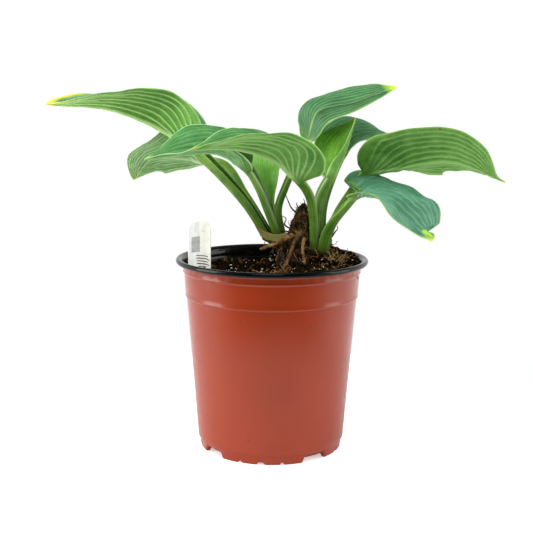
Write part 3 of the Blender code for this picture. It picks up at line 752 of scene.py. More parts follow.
# %% [markdown]
# ## The root crown
# The crown is the plant's woody foot: a stump with a short branch to each fan of leaves, and an old
# brown stub between them. It grew as one lump, so it is built the way a sculptor would: rough columns
# pushed together, melted into one skin by a voxel remesh, then carved by noise that is stretched
# upwards so that it looks like fibre.

# %% Crown shape
CROWN_COLUMNS = [
    [((26, 0), 21.5, 14.0, 158.0), ((26, 0), 21.0, 14.5, 166.0), ((26, -1), 18.5, 14.5, 174.0)],
    [((36, 5), 11.0, 9.0, 165.0), ((39, 5), 12.5, 10.5, 175.0), ((39, 5), 12.0, 10.3, 181.5)],
    [((20, 0), 11.0, 12.0, 167.0), ((12, 0), 11.0, 12.5, 175.0), ((5, 0), 12.5, 13.5, 180.0),
     ((2.5, 0), 12.5, 13.5, 185.0)],
    [((24, 1.5), 10.5, 12.0, 170.0), ((22.8, 2.5), 9.0, 9.5, 181.0), ((23.2, 4), 8.2, 7.5, 190.0),
     ((24.8, 5), 6.8, 5.6, 198.0), ((26.4, 5), 4.6, 4.2, 206.0), ((26.8, 5), 1.6, 1.6, 211.0)],
]


def crown_wood(surface):
    """The crown's columns as one remeshed skin, ridged like matted fibre."""
    points = []
    faces = []
    sides_round = 28
    turn = np.linspace(0, 2 * pi, sides_round, endpoint=False)
    for levels in CROWN_COLUMNS:
        rings = []
        for centre, wide, deep, z in levels:
            rings.append(np.stack([centre[0] + wide * np.cos(turn), centre[1] + deep * np.sin(turn),
                                   np.full(sides_round, z)], -1))
        more, sides = skin(rings)
        faces += [tuple(k + len(points) for k in face) for face in sides]
        points += more.tolist()
    rough = piece("crown_rough", np.array(points), faces, (surface,))
    remesh = rough.modifiers.new("melt", "REMESH")
    remesh.mode = "VOXEL"
    remesh.voxel_size = 0.0008
    made = settle(rough, "crown_wood")
    for vertex in made.data.vertices:
        p = vertex.co / MM
        fibre = noise.noise(Vector((p.x * 0.55, p.y * 0.55, p.z * 0.10)))
        knot = noise.noise(Vector((p.x * 0.22, p.y * 0.22, p.z * 0.22 + 5.0)))
        grit = noise.noise(Vector((p.x * 1.3, p.y * 1.3, p.z * 0.5 + 9.0)))
        outward = Vector((vertex.normal.x, vertex.normal.y, 0.3 * vertex.normal.z))
        strand = noise.noise(Vector((p.x * 1.1 + 0.12 * p.z, p.y * 1.1, p.z * 0.16 + 2.0)))
        vertex.co += outward * MM * (1.7 * fibre + 1.3 * knot + 1.0 * strand + 0.6 * grit)
    made.data.materials.clear()
    made.data.materials.append(surface)
    made.data.polygons.foreach_set("use_smooth", [True] * len(made.data.polygons))
    return made


# %% [markdown]
# Old hosta rhizome is brown cork with darker soil in its folds and pale broken fibres. The colour noise
# is stretched upwards like the shape, and a second one leaves soil behind.


# %% Root bark material
def root_bark(name, dark, mid, light, fibre_mm, darker_below=0.0):
    """Brown fibrous bark: streaks that run up the root, soil in patches, pale broken fibres."""
    made, tree, shader = new_surface(name)
    where = add(tree, "ShaderNodeTexCoord").outputs["Object"]
    squeezed = add(tree, "ShaderNodeMapping", Vector=where, Scale=(1.0, 1.0, 0.22))
    streak = add(tree, "ShaderNodeTexNoise", Vector=squeezed.outputs["Vector"], Scale=1000.0 / fibre_mm,
                 Detail=4.0, Roughness=0.65)
    patch = add(tree, "ShaderNodeTexNoise", Vector=where, Scale=170.0, Detail=4.0, Roughness=0.6)
    pale = add(tree, "ShaderNodeMapRange", Value=streak.outputs["Fac"], From_Min=0.40, From_Max=0.68)
    clean = add(tree, "ShaderNodeMapRange", Value=patch.outputs["Fac"], From_Min=0.42, From_Max=0.60)
    wood = add(tree, "ShaderNodeMix", {"data_type": "RGBA"}, Factor=out(pale), A=linear(mid), B=linear(light))
    soiled = add(tree, "ShaderNodeMix", {"data_type": "RGBA"}, Factor=out(clean), A=linear(dark), B=out(wood))
    # darker towards the bottom, up to this height in millimetres
    height = add(tree, "ShaderNodeSeparateXYZ", Vector=where).outputs["Z"]
    bottom_dark = add(tree, "ShaderNodeMapRange", Value=height, From_Min=(darker_below - 12.0) * MM,
              From_Max=darker_below * MM, To_Min=0.85, To_Max=0.0)
    bottom_darkened = add(tree, "ShaderNodeMix", {"data_type": "RGBA"}, Factor=out(bottom_dark),
                  A=out(soiled), B=linear("#130C06"))
    tree.links.new(out(bottom_darkened), shader.inputs["Base Color"])
    shader.inputs["Roughness"].default_value = 0.85
    shader.inputs["Specular IOR Level"].default_value = 0.3
    bump = add(tree, "ShaderNodeBump", Strength=0.9, Distance=0.0006, Height=streak.outputs["Fac"])
    tree.links.new(bump.outputs["Normal"], shader.inputs["Normal"])
    return made


crown_bark = root_bark("corky_rhizome_bark", "#2A1C0F", "#70502A", "#B48E56", 1.3, darker_below=187.0)
root_skin = root_bark("root_skin", "#5A3A1C", "#94683A", "#BE935A", 1.2)
hair_skin = root_bark("dry_root_hair", "#2A1A0C", "#4E341A", "#8A6434", 0.8)
crown = crown_wood(crown_bark)
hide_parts("root_crown")
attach(crown, "root")
print("crown faces:", len(crown.data.polygons))

# %% [markdown]
# ## Roots
# A root is a line first: it leaves the crown, sags and dives into the soil. So each one is a curve,
# and Geometry Nodes sweep a small circle along it, thinner towards the end and never quite even.
# The same tree makes the four thick roots and the many fine ones that mat the crown.


# %% Root tree
def root_tree(surface):
    """A swept circle along each curve, thinning to its end, with small swellings."""
    tree, sockets, given = geometry_tree("sweep_" + surface.name, {
        "Spacing": ("Float", 0.0007), "Start Radius": ("Float", 0.0015), "End Radius": ("Float", 0.0008),
        "Sides": ("Int", 12), "Swelling": ("Float", 0.35)})
    even = add(tree, "GeometryNodeResampleCurve", Curve=given["Geometry"])
    # the length mode is a menu input in newer versions and a setting in older ones
    if "Mode" in even.inputs:
        even.inputs["Mode"].default_value = "Length"
    else:
        even.mode = "LENGTH"
    tree.links.new(given["Spacing"], next(s for s in even.inputs if s.name == "Length"))
    along = add(tree, "GeometryNodeSplineParameter")
    thin = add(tree, "ShaderNodeMix", {"data_type": "FLOAT"}, Factor=along.outputs["Factor"],
               A=given["Start Radius"], B=given["End Radius"])
    where = add(tree, "GeometryNodeInputPosition").outputs["Position"]
    lumps = add(tree, "ShaderNodeTexNoise", Vector=where, Scale=330.0, Detail=2.0)
    swell = add(tree, "ShaderNodeMath", {"operation": "MULTIPLY_ADD"}, Value_0=lumps.outputs["Fac"],
                Value_1=given["Swelling"], Value_2=1.0)
    radius = add(tree, "ShaderNodeMath", {"operation": "MULTIPLY"}, Value_0=out(thin),
                 Value_1=swell.outputs[0])
    circle = add(tree, "GeometryNodeCurvePrimitiveCircle", Resolution=given["Sides"], Radius=1.0)
    tube = add(tree, "GeometryNodeCurveToMesh", Curve=even.outputs["Curve"],
               Profile_Curve=circle.outputs["Curve"], Fill_Caps=True)
    if "Scale" in tube.inputs:
        tree.links.new(radius.outputs[0], tube.inputs["Scale"])
    else:
        sized = add(tree, "GeometryNodeSetCurveRadius", Curve=even.outputs["Curve"],
                    Radius=radius.outputs[0])
        tree.links.new(sized.outputs["Curve"], tube.inputs["Curve"])
    real = add(tree, "GeometryNodeRealizeInstances", Geometry=tube.outputs["Mesh"])
    soft = add(tree, "GeometryNodeSetShadeSmooth", Geometry=real.outputs["Geometry"])
    named = add(tree, "GeometryNodeSetMaterial", Geometry=soft.outputs["Geometry"], Material=surface)
    result = add(tree, "NodeGroupOutput")
    tree.links.new(named.outputs["Geometry"], result.inputs[0])
    return tree, sockets


def swept(name, paths, surface, **sizes):
    """Curves through the given points, swept into one mesh."""
    data = bpy.data.curves.new(name + "_paths", "CURVE")
    data.dimensions = "3D"
    for path in paths:
        spline = data.splines.new("BEZIER")
        spline.bezier_points.add(len(path) - 1)
        for spot, point in zip(spline.bezier_points, path):
            spot.co = Vector(point) * MM
            spot.handle_left_type = "AUTO"
            spot.handle_right_type = "AUTO"
    carrier = bpy.data.objects.new(name + "_carrier", data)
    tree, sockets = root_tree(surface)
    return grown(carrier, name, tree, sockets, sizes)


# %% Thick roots
ROOTS = {
    "root_left_thick": (((17, -14, 186), (6, -18.9, 180.5), (-3, -18.8, 177), (-10, -18, 174)), 1.8, 1.1),
    "root_front_long": (((20, -12, 184), (17, -18, 176), (14.5, -21, 168), (8, -26, 158)), 1.4, 0.8),
    "root_front_right": (((27, -13, 183), (25.5, -19, 176), (26, -20.5, 170), (28, -23, 162)), 1.3, 0.8),
    "root_back": (((22, 13.0, 178), (16, 20, 177), (9, 25, 170), (4, 29, 157)), 1.5, 0.7),
}
for name, (path, start, end) in ROOTS.items():
    made = swept("sweep_of_" + name, [path], root_skin, Start_Radius=start * MM, End_Radius=end * MM,
                 Sides=14)
    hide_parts(name)
    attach(made, "root")

# %% [markdown]
# Fine roots mat the crown and curl over the soil. Their paths are random walks from points round the
# crown, with a fixed seed, and the same sweep tree gives them thickness.

# %% Random walks
WALK_STEP = 2.2
rng = np.random.default_rng(41)


def wandering_root(start, heading, length, droop, wander):
    """A path that sets off in one direction and keeps changing its mind. It stays above the soil."""
    place = np.array(start, float)
    direction = np.array(heading, float)
    path = [place.copy()]
    for _ in range(int(length / WALK_STEP)):
        direction += rng.normal(0, wander, 3) + np.array((0.0, 0.0, -droop))
        direction /= np.linalg.norm(direction)
        place = place + direction * WALK_STEP
        floor = soil_height(place[0], place[1]) + 0.3
        if place[2] < floor:
            place[2] = floor
            direction[2] = abs(direction[2]) * 0.3
        path.append(place.copy())
    return path


# %% Roots that mat the crown
CROWN_MIDDLE_X = 31
hair_paths = []
for _ in range(46):
    # four in five stand on the near side
    turn = rng.uniform(pi, 2 * pi) if rng.random() < 0.8 else rng.uniform(0, pi)
    at = (CROWN_MIDDLE_X + 17 * cos(turn), 11.5 * sin(turn), rng.uniform(166, 178))
    hair_paths.append(wandering_root(at, (cos(turn), sin(turn), 0.3), rng.uniform(7, 20), 0.18, 0.42))
for _ in range(16):
    # the rest hang from the left shoulder
    at = (rng.uniform(-4, 12), rng.uniform(-11, -8), rng.uniform(178, 187))
    hair_paths.append(wandering_root(at, (rng.normal(0, 0.5), -0.8, -0.3), rng.uniform(6, 16), 0.22, 0.35))
hairs = swept("fine_crown_roots", hair_paths, root_skin, Start_Radius=0.42 * MM, End_Radius=0.14 * MM,
              Sides=6, Spacing=1.0 * MM)

# %% [markdown]
# The old stub bristles with short dark hairs that lie close to it, and a few broken twigs stand off its
# left side. The hairs start on rings that follow the stub's own width, so none of them floats.

# %% Bristles and twigs
# height, centre x, centre y and reach of the stub
STUB_LEVELS = ((174, 24.0, 1.5, 10.0), (190, 23.2, 4.0, 8.0), (200, 25.2, 5.0, 6.0), (210, 26.8, 5.0, 2.0))
levels = np.array(STUB_LEVELS, float)
bristle_paths = []
for _ in range(120):
    z = rng.uniform(172, 209)
    x, y, reach = (float(np.interp(z, levels[:, 0], levels[:, k])) for k in (1, 2, 3))
    turn = rng.uniform(0, 2 * pi)
    at = (x + 0.95 * reach * cos(turn), y + 0.85 * reach * sin(turn), z)
    heading = (0.5 * cos(turn), 0.5 * sin(turn), rng.uniform(-1.3, 1.0))
    bristle_paths.append(wandering_root(at, heading, rng.uniform(4.5, 9.0), 0.0, 0.45))
bristles = swept("stub_bristles", bristle_paths, hair_skin, Start_Radius=0.34 * MM, End_Radius=0.10 * MM,
                 Sides=5, Spacing=1.0 * MM)
TWIGS = [((15.5, -4, 190), (10.5, -5.5, 194), (11.5, -6, 199), (8.5, -6, 201)),
         ((15.5, -5, 187), (9, -7, 188.5), (4.5, -7.5, 187)),
         ((16, -6, 182), (10, -10, 184.5), (6.5, -11, 183.5)),
         ((21, 1, 203), (16.5, 0, 207), (13.5, 0, 213), (11, -1, 219)),
         ((27, 3, 208), (27.5, 2, 212), (26.5, 2, 215)),
         ((24, 0, 206), (21, -1, 209.5), (20.5, -1, 212)),
         ((50, -12, 184), (53, -14, 189), (55, -14, 192), (54.5, -13.5, 194))]
twigs = swept("broken_twigs", TWIGS, hair_skin, Start_Radius=0.55 * MM, End_Radius=0.22 * MM, Sides=8,
              Swelling=0.9)

# %% [markdown]
# Pale straw lies beside the right-hand stalks, and loose root ends curl over the soil in front.

# %% Straw and curls
straw_paths = []
for _ in range(24):
    at = (rng.uniform(43, 60), rng.uniform(-22, -9))
    start = (at[0], at[1], soil_height(*at) + rng.uniform(0.5, 3.0))
    heading = (rng.normal(), rng.normal(), 0.8)
    straw_paths.append(wandering_root(start, heading, rng.uniform(5, 11), 0.15, 0.6))
straws = swept("pale_straws", straw_paths, straw, Start_Radius=0.42 * MM, End_Radius=0.15 * MM,
               Sides=6, Spacing=1.0 * MM)

# how many, where in x and y, height over the soil, upward lean, length and wander
CURLS = [(26, (-12, 16), (-38, -18), 1.2, 0.5, (8, 22), 0.55),
         (22, (34, 62), (-30, -6), 1.5, 0.6, (6, 18), 0.5)]
curl_paths = []
for count, x_range, y_range, lift, lean, lengths, wander in CURLS:
    for _ in range(count):
        at = (rng.uniform(*x_range), rng.uniform(*y_range))
        start = (at[0], at[1], soil_height(*at) + lift)
        heading = (rng.normal(), rng.normal(), lean)
        curl_paths.append(wandering_root(start, heading, rng.uniform(*lengths), 0.10, wander))
curls = swept("root_curls_on_soil", curl_paths, root_skin, Start_Radius=0.36 * MM, End_Radius=0.16 * MM,
              Sides=6, Spacing=1.0 * MM)
for made in (hairs, bristles, twigs, straws, curls):
    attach(made, "root")

# %% [markdown]
# ## The dry bract
# The outermost sheath of a shoot dries and curls away. It is a small papery tongue, olive where it was
# still alive last and brown along its torn edge, with thin veins running to its tip.

# %% Dry bract
BRACT_PATH = ((13, -15.4, 187), (5, -16.2, 183.5), (-6, -16.2, 186), (-14, -15.2, 193.5))
BRACT_HALF_WIDTH = 3.0
SHEET_HALF = 0.22
dry_sheath, tree, shader = new_surface("dry_papery_sheath")
where = add(tree, "ShaderNodeTexCoord").outputs["Object"]
vein = add(tree, "ShaderNodeTexNoise", Vector=where, Scale=900.0, Detail=3.0)
tone = add(tree, "ShaderNodeMix", {"data_type": "RGBA"}, Factor=vein.outputs["Fac"],
           A=linear("#66642A"), B=linear("#A69A56"))
tree.links.new(out(tone), shader.inputs["Base Color"])
shader.inputs["Roughness"].default_value = 0.7
crinkle = add(tree, "ShaderNodeBump", Strength=0.6, Distance=0.0004, Height=vein.outputs["Fac"])
tree.links.new(crinkle.outputs["Normal"], shader.inputs["Normal"])

rings = []
line = smooth_path(BRACT_PATH, 20)
slope = np.gradient(line, axis=0)
slope /= np.linalg.norm(slope, axis=1)[:, None]
u = np.linspace(-1, 1, 33)
for i, centre in enumerate(line):
    t = i / (len(line) - 1)
    half = 0.5 + BRACT_HALF_WIDTH * np.interp(t, (0.0, 0.35, 0.7, 1.0), (0.35, 1.0, 0.8, 0.0))
    over = np.cross((0.0, 1.0, 0.0), slope[i])
    # the veins of the sheath stand out as small ridges along it
    ridge = 0.22 * np.cos(u * 14) - 0.5 * np.exp(-((u + 0.6) / 0.25) ** 2)
    row = centre + half * u[:, None] * over + np.stack([0 * u, 0.12 * half * u * u + ridge, 0 * u], -1)
    rings.append(np.concatenate([row - (0, SHEET_HALF, 0), (row + (0, SHEET_HALF, 0))[::-1]]))
points, faces = skin(rings)
bract = piece("papery_bract", points, faces, (dry_sheath,))
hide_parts("dry_bract")
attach(bract, "root")

# %% [markdown]
# ## The leaves
# A hosta leaf is one sheet from the stalk's foot to the tip: a thick channelled stalk that opens into a
# folded blade. Six or so veins on each half run from the base to the tip in bows. The skin swells
# between them, so the upper face is quilted and the under face is ribbed. The table repeats the CAD
# model's ten leaves, so each fine leaf lies where its solid lies.

# %% Leaf table
STALK_THICK = 2.9
BLADE_THICK = 0.55
# the first spans of each path are the stalk and the rest is the blade
STALK_SPANS = 3
LEAVES = {
    "leaf_upper_left": dict(
        heading=168, stalk=(5.6, 8.0),
        width=(40, 31), fullness=(0.43, 0.66), lobe=(0.07, -0.15),
        path=((-6, -6, 184), (-22, -5, 209), (-44, 3, 233), (-63, 17, 249),
              (-98, 24, 273), (-135, 25, 288), (-199, 38, 293)),
        rise_left=(62, 50, 60, 18, 1), rise_right=(62, 72, 68, 28, 45), bow=(-33, -16)),
    "leaf_lower_left": dict(
        heading=165, stalk=(5.0, 7.0),
        width=(42, 28), fullness=(0.62, 0.86), lobe=(0.15, 0.20),
        path=((-4, 6, 184), (-23, 16, 216), (-40, 28, 240), (-57, 45, 243),
              (-82, 56, 246), (-109, 60, 245), (-126, 61, 225)),
        rise_left=(58, 59, 62, 19, 34), rise_right=(58, -8, -19, -41, -8), bow=(-22, -23)),
    "leaf_mid_left": dict(
        heading=178, stalk=(5.0, 8.2),
        width=(23, 34), fullness=(0.62, 0.84), lobe=(0.10, 0.05),
        path=((4, -9, 184), (-5, -15, 208), (-12, -20, 226), (-21, -25, 241),
              (-44, -28, 255), (-75, -28, 254), (-106, -30, 250)),
        rise_left=(60, 26, 20, 8, 7), rise_right=(60, 40, 36, 43, 4), bow=(-25, -31)),
    "leaf_front_sweeping": dict(
        heading=188, stalk=(5.0, 6.8),
        width=(41, 38), fullness=(0.56, 0.96), lobe=(0.35, 0.16),
        path=((34.5, -11, 173), (33.5, -15, 200), (29.5, -23, 220), (21, -32, 233),
              (2, -43, 250), (-28, -54, 260), (-65, -64, 260)),
        rise_left=(60, 53, 39, 23, 13), rise_right=(60, 46, 28, 30, 24), bow=(-22, -27)),
    "leaf_young_left": dict(
        heading=95, stalk=(3.2, 3.6),
        width=(18, 15), fullness=(1.10, 0.79), lobe=(0.0, 0.0),
        path=((5, 10, 184), (2, 11, 193), (0, 12, 201), (-1.5, 13.5, 209),
              (-5, 18, 228), (-7, 25, 248), (-10, 34, 266)),
        rise_left=(55, 51, 40, 30, 10), rise_right=(55, 58, 45, 31, 11), bow=(-25, -24)),
    "leaf_top": dict(
        heading=8, stalk=(4.8, 6.4),
        width=(33, 25), fullness=(0.43, 0.77), lobe=(-0.29, 0.23),
        path=((9, 0.5, 184), (5.5, 4, 206), (11.5, 9, 225), (29, 9, 265),
              (37, 11, 287), (69, 17, 296), (106, 23, 310)),
        rise_left=(60, 16, 16, 28, 30), rise_right=(60, -2, -20, -11, -12), bow=(-27, -26)),
    "leaf_young_right": dict(
        heading=5, stalk=(4.8, 7.0),
        width=(30, 12), fullness=(0.65, 0.75), lobe=(0.07, 0.10),
        path=((37.5, 3.5, 180), (39, 1, 203), (42, -1, 219), (49, -2, 232),
              (59, 3, 250), (65, 3, 267), (69, 3, 284)),
        rise_left=(60, 54, 52, 52, 12), rise_right=(60, 45, 35, 20, 12), bow=(-25, -25)),
    "leaf_behind_right": dict(
        heading=12, stalk=(3.2, 4.2),
        width=(33, 18), fullness=(0.49, 0.85), lobe=(0.36, 0.17),
        path=((43.5, 11, 180), (45, 15, 208), (52, 20, 231), (61, 25, 251),
              (69, 30, 262), (84, 35, 268), (104, 37, 270)),
        rise_left=(50, 48, 38, 31, -11), rise_right=(50, 10, -1, -11, -7), bow=(-27, -25)),
    "leaf_long_right": dict(
        heading=-3, stalk=(4.8, 6.4),
        width=(38, 37), fullness=(0.55, 1.15), lobe=(-0.05, 0.12),
        path=((47.5, 3.5, 180), (57, 11, 202), (68, 15, 218), (81, 13, 235),
              (106, 1, 241), (146, -11, 248), (200, 7, 230)),
        rise_left=(60, 18, -17, -20, 3), rise_right=(60, 61, 56, 60, 14), bow=(-17, -19)),
    "leaf_hanging_right": dict(
        heading=-28, stalk=(7.0, 9.4),
        width=(46, 23), fullness=(0.63, 0.91), lobe=(0.85, 0.61),
        path=((45, -14.5, 173), (49.5, -19, 193), (59, -26, 209), (71, -29, 222),
              (90, -38, 220), (105, -50, 207), (126, -67, 189)),
        rise_left=(66, 22, 7, 20, -1), rise_right=(66, -2, 10, -2, -7), bow=(-15, -34)),
}


# %% Leaf sheet
def leaf_sheet(leaf, stalk_stations, blade_stations, half_points):
    """The leaf's upper surface as a grid, stalk foot to tip, left margin to right margin."""
    line = smooth_path(leaf["path"])
    split = PATH_SAMPLES * STALK_SPANS
    stalk_at = np.linspace(0, 1, stalk_stations, endpoint=False)
    blade_at = 1 - (1 - np.linspace(0, 1, blade_stations + 1)) ** 1.15
    blade_at = 0.992 * blade_at
    spine = np.concatenate([along(line[: split + 1], stalk_at), along(line[split:], blade_at)])
    tangent = np.gradient(spine, axis=0)
    tangent /= np.linalg.norm(tangent, axis=1)[:, None]
    heading = radians(leaf["heading"])
    side = np.array([sin(heading), -cos(heading), 0.0])
    side = side - (tangent @ side)[:, None] * tangent
    side /= np.linalg.norm(side, axis=1)[:, None]
    up = np.cross(side, tangent)
    place = np.concatenate([stalk_at - 1, blade_at])
    a, b = leaf["fullness"]
    peak = (a / (a + b)) ** a * (b / (a + b)) ** b
    blade = np.clip(place, 0, 1)
    swell = blade**a * (1 - blade) ** b / peak
    foot, throat = leaf["stalk"]
    channel = foot + (throat - foot) * np.clip(place + 1, 0, 1) ** 1.5
    channel = np.where(place > 0, channel * (1 - blade) ** 3, channel)
    swept = np.where(place > 0, (1 - blade) ** 2.5 * np.clip(blade / 0.04, 0, 1), 0.0)
    across = np.linspace(0, 1, half_points + 1)
    halves = []
    for k, (sign, rise) in enumerate(((-1, leaf["rise_left"]), (1, leaf["rise_right"]))):
        width = np.maximum(channel + leaf["width"][k] * swell, 0.5)[:, None]
        angle = np.radians(eased(place, [-1, 0, 0.3, 0.65, 1], rise))[:, None]
        bend = leaf["bow"][k]
        bend = np.radians(eased(place, [-1, -0.15, 0.25, 1], [60, 60, bend, bend]))[:, None]
        bend = np.where(np.abs(bend) < 1e-4, 1e-4, bend)
        start = angle - bend / 2
        outward = width / bend * (np.sin(start + bend * across) - np.sin(start))
        lift = -width / bend * (np.cos(start + bend * across) - np.cos(start))
        back = swept[:, None] * leaf["lobe"][k] * width * across
        point = spine[:, None, :] + sign * outward[..., None] * side[:, None, :]
        point = point + lift[..., None] * up[:, None, :] - back[..., None] * tangent[:, None, :]
        halves.append(point)
    sheet = np.concatenate([halves[0][:, ::-1], halves[1][:, 1:]], axis=1)
    return sheet, place, tangent


def sheet_normals(sheet):
    """Unit normals of a grid of points, on the side that a leaf turns upwards."""
    normal = np.cross(np.gradient(sheet, axis=1), np.gradient(sheet, axis=0))
    return normal / np.maximum(np.linalg.norm(normal, axis=2), 1e-9)[..., None]


# %% [markdown]
# Veins first. Inner veins leave the midrib later than outer ones, and all of them meet at the tip.
# For every point of the sheet the next function says how far the nearest vein is, in millimetres, and
# how far the point is on its way from one vein to the next.

# %% Veins
VEINS = 6


def vein_map(place, wide, half_points):
    """Distance to the nearest vein and the running number of veins, over one half of a leaf."""
    across = np.linspace(0, 1, half_points + 1)
    k = np.arange(VEINS + 2)
    rank = k / (VEINS + 1)
    start = 0.26 * (1 - rank)
    distance = np.zeros((len(place), len(across)))
    number = np.zeros_like(distance)
    for i, s in enumerate(place):
        u = rank * smooth(start - 0.14, start + 0.20, s)
        u[0] = 0.0
        u[-1] = 1.0
        number[i] = np.interp(across, u, k)
        inner = u[1:-1]
        distance[i] = np.abs(across[:, None] - inner[None, :]).min(axis=1) * wide[i]
    return distance, number


def marks_on(sheet, place, marks):
    """How strongly each point lies in one of the scars, given as (place, across, radius in mm)."""
    found = np.zeros(sheet.shape[:2])
    half = sheet.shape[1] // 2
    for at, across, radius in marks:
        centre = sheet[np.abs(place - at).argmin(), half + round(across * half)]
        away = np.linalg.norm(sheet - centre, axis=2)
        found = np.maximum(found, 1 - smooth(0.6 * radius, 1.2 * radius, away))
    return found


def trimmed(sheet, place, trim):
    """The sheet with its left or right half widened or narrowed by a share at some places."""
    half = sheet.shape[1] // 2
    spine = sheet[:, half:half + 1].copy()
    columns = {"left": slice(0, half), "right": slice(half + 1, None)}
    for side, (knots, shares) in trim.items():
        share = np.interp(place, knots, shares)[:, None, None]
        sheet[:, columns[side]] = spine + (sheet[:, columns[side]] - spine) * share
    return sheet


def noise_over(sheet, fineness, shift):
    """Soft noise over a grid of points in millimetres, between about -1 and 1."""
    moved = sheet * fineness + shift
    return np.array([[noise.noise(Vector(point)) for point in row] for row in moved])


def fine_leaf(name, leaf, surface, puckers=0.35, trim=None, marks=(), seed=0.0, quilting=1.0):
    """One leaf with veins, quilting and a wavy margin, and the numbers that its material reads."""
    stalk_stations, blade_stations, half = 44, 120, 52
    sheet, place, tangent = leaf_sheet(leaf, stalk_stations, blade_stations, half)
    sheet = trimmed(sheet, place, trim or {})
    steps = np.linalg.norm(np.diff(sheet, axis=1), axis=2)
    reach = np.concatenate([np.zeros((len(place), 1)), np.cumsum(steps, axis=1)], axis=1)
    from_rib = np.abs(reach - reach[:, half:half + 1])
    wide = np.stack([from_rib[:, 0], from_rib[:, -1]], -1)
    maps = [vein_map(place, wide[:, k], half) for k in (0, 1)]
    distance = np.concatenate([maps[0][0][:, ::-1], maps[1][0][:, 1:]], axis=1)
    number = np.concatenate([maps[0][1][:, ::-1], maps[1][1][:, 1:]], axis=1)
    half_wide = np.concatenate([np.repeat(wide[:, :1], half, 1),
                                np.repeat(wide[:, 1:], half + 1, 1)], axis=1)
    blade = np.clip(place, 0, 1)[:, None]
    shown = smooth(0.0, 0.12, place)[:, None] * (1 - smooth(0.90, 1.0, place)[:, None])
    from_margin = half_wide - from_rib
    inside = smooth(0.0, 3.0, from_margin)
    spacing = half_wide / (VEINS + 1)
    # the skin swells between the veins, more where they stand far apart
    quilt = quilting * np.minimum(0.18 * spacing, 1.15) * (np.abs(np.sin(pi * number)) ** 0.7 - 0.6)
    # puckers about 6 mm wide cross from vein to vein; the margin waves gently
    pucker = puckers * noise_over(sheet, 0.16, (seed, 0, 0))
    wave = noise_over(sheet, 0.055, (seed, 0, 7))
    apart = smooth(1.4, 3.2, spacing)
    vein = np.exp(-((distance / 0.60) ** 2)) * shown * apart
    rib = np.exp(-((from_rib / (0.6 + 1.0 * (1 - blade))) ** 2)) * smooth(-0.1, 0.05, place)[:, None]
    towards_edge = smooth(0.3, 1.0, 1 - from_margin / half_wide)
    lift = shown * inside * (quilt + pucker) + 1.6 * wave * shown * towards_edge
    lift = lift - 0.35 * vein - 0.5 * rib * (1 - blade)
    normal = sheet_normals(sheet)
    upper = sheet + normal * lift[..., None]
    middle = from_rib / half_wide
    stalk_wall = STALK_THICK * (1 - 0.55 * middle**2)
    blade_wall = BLADE_THICK * (0.35 + 0.65 * inside) + 0.40 * vein + (0.5 + 1.1 * (1 - blade) ** 1.5) * rib
    mix = smooth(-0.03, 0.22, place)[:, None]
    wall = stalk_wall * (1 - mix) + blade_wall * mix
    upper_normal = sheet_normals(upper)
    facing = normal * mix[..., None] * 0.5 + upper_normal * (1 - mix[..., None] * 0.5)
    facing /= np.linalg.norm(facing, axis=2)[..., None]
    under = upper - facing * wall[..., None]
    # the foot goes a little way into the crown
    upper[0] -= tangent[0] * 3.0
    under[0] -= tangent[0] * 3.0
    rings = [np.concatenate([upper[i], under[i, ::-1]]) for i in range(len(place))]
    points, faces = skin(rings)
    made = piece(name, points, faces, (surface,))

    beyond = np.concatenate([np.zeros(half), np.ones(half + 1)])[None, :]
    fold_shade_span = smooth(0.10, 0.30, place) * (1 - smooth(0.75, 0.95, place))
    numbers = {
        "vein": vein,
        "rib": rib,
        "margin": np.exp(-((from_margin / 1.1) ** 2)) * smooth(-1.0, -0.6, place)[:, None],
        "place": place[:, None],
        "scar": marks_on(sheet, place, marks),
        "bleach": np.exp(-((from_margin / 4.0) ** 2)) * smooth(0.70, 0.88, place)[:, None],
        # painted shade of the fold, on the half beyond the midrib
        "crease": beyond * np.exp(-((middle / 0.55) ** 2)) * fold_shade_span[:, None],
        # fine lengthwise lines on the stalk
        "streak": 0.5 + 0.5 * np.cos(7 * pi * middle) * (0.4 + 0.6 * middle),
        # quilt height for the painted highlight on the swellings and the painted shade in the troughs beside
        # the veins
        "quilt_light_and_shade": np.clip(0.5 + 0.5 * quilt * inside, 0, 1) * shown,
    }
    for label, values in numbers.items():
        # the same on both sides, then one value for the foot's cap and one for the tip's
        rows = np.broadcast_to(values, sheet.shape[:2])
        ends = [-1.0, 1.0] if label == "place" else [0.0, 0.0]
        attribute(made, label, np.concatenate([np.concatenate([rows, rows[:, ::-1]], axis=1).ravel(), ends]))
    sides = np.concatenate([np.ones(sheet.shape[:2]), np.zeros(sheet.shape[:2])], axis=1).ravel()
    attribute(made, "upper", np.concatenate([sides, [1.0, 0.0]]))
    return made


# %% [markdown]
# Leaf skin. The upper face is blue-green under a thin wax bloom, which makes its shine broad and soft.
# The under face is paler and matt, with yellow-green ribs that the light shines through. The margin is
# a thin yellow line, and some tips have begun to bleach. Every colour is chosen by a number that the
# mesh carries, so it follows the leaf wherever the leaf bends.


# %% Leaf material
CARRIED = ("vein", "rib", "margin", "place", "scar", "bleach", "quilt_light_and_shade", "upper", "streak", "crease")


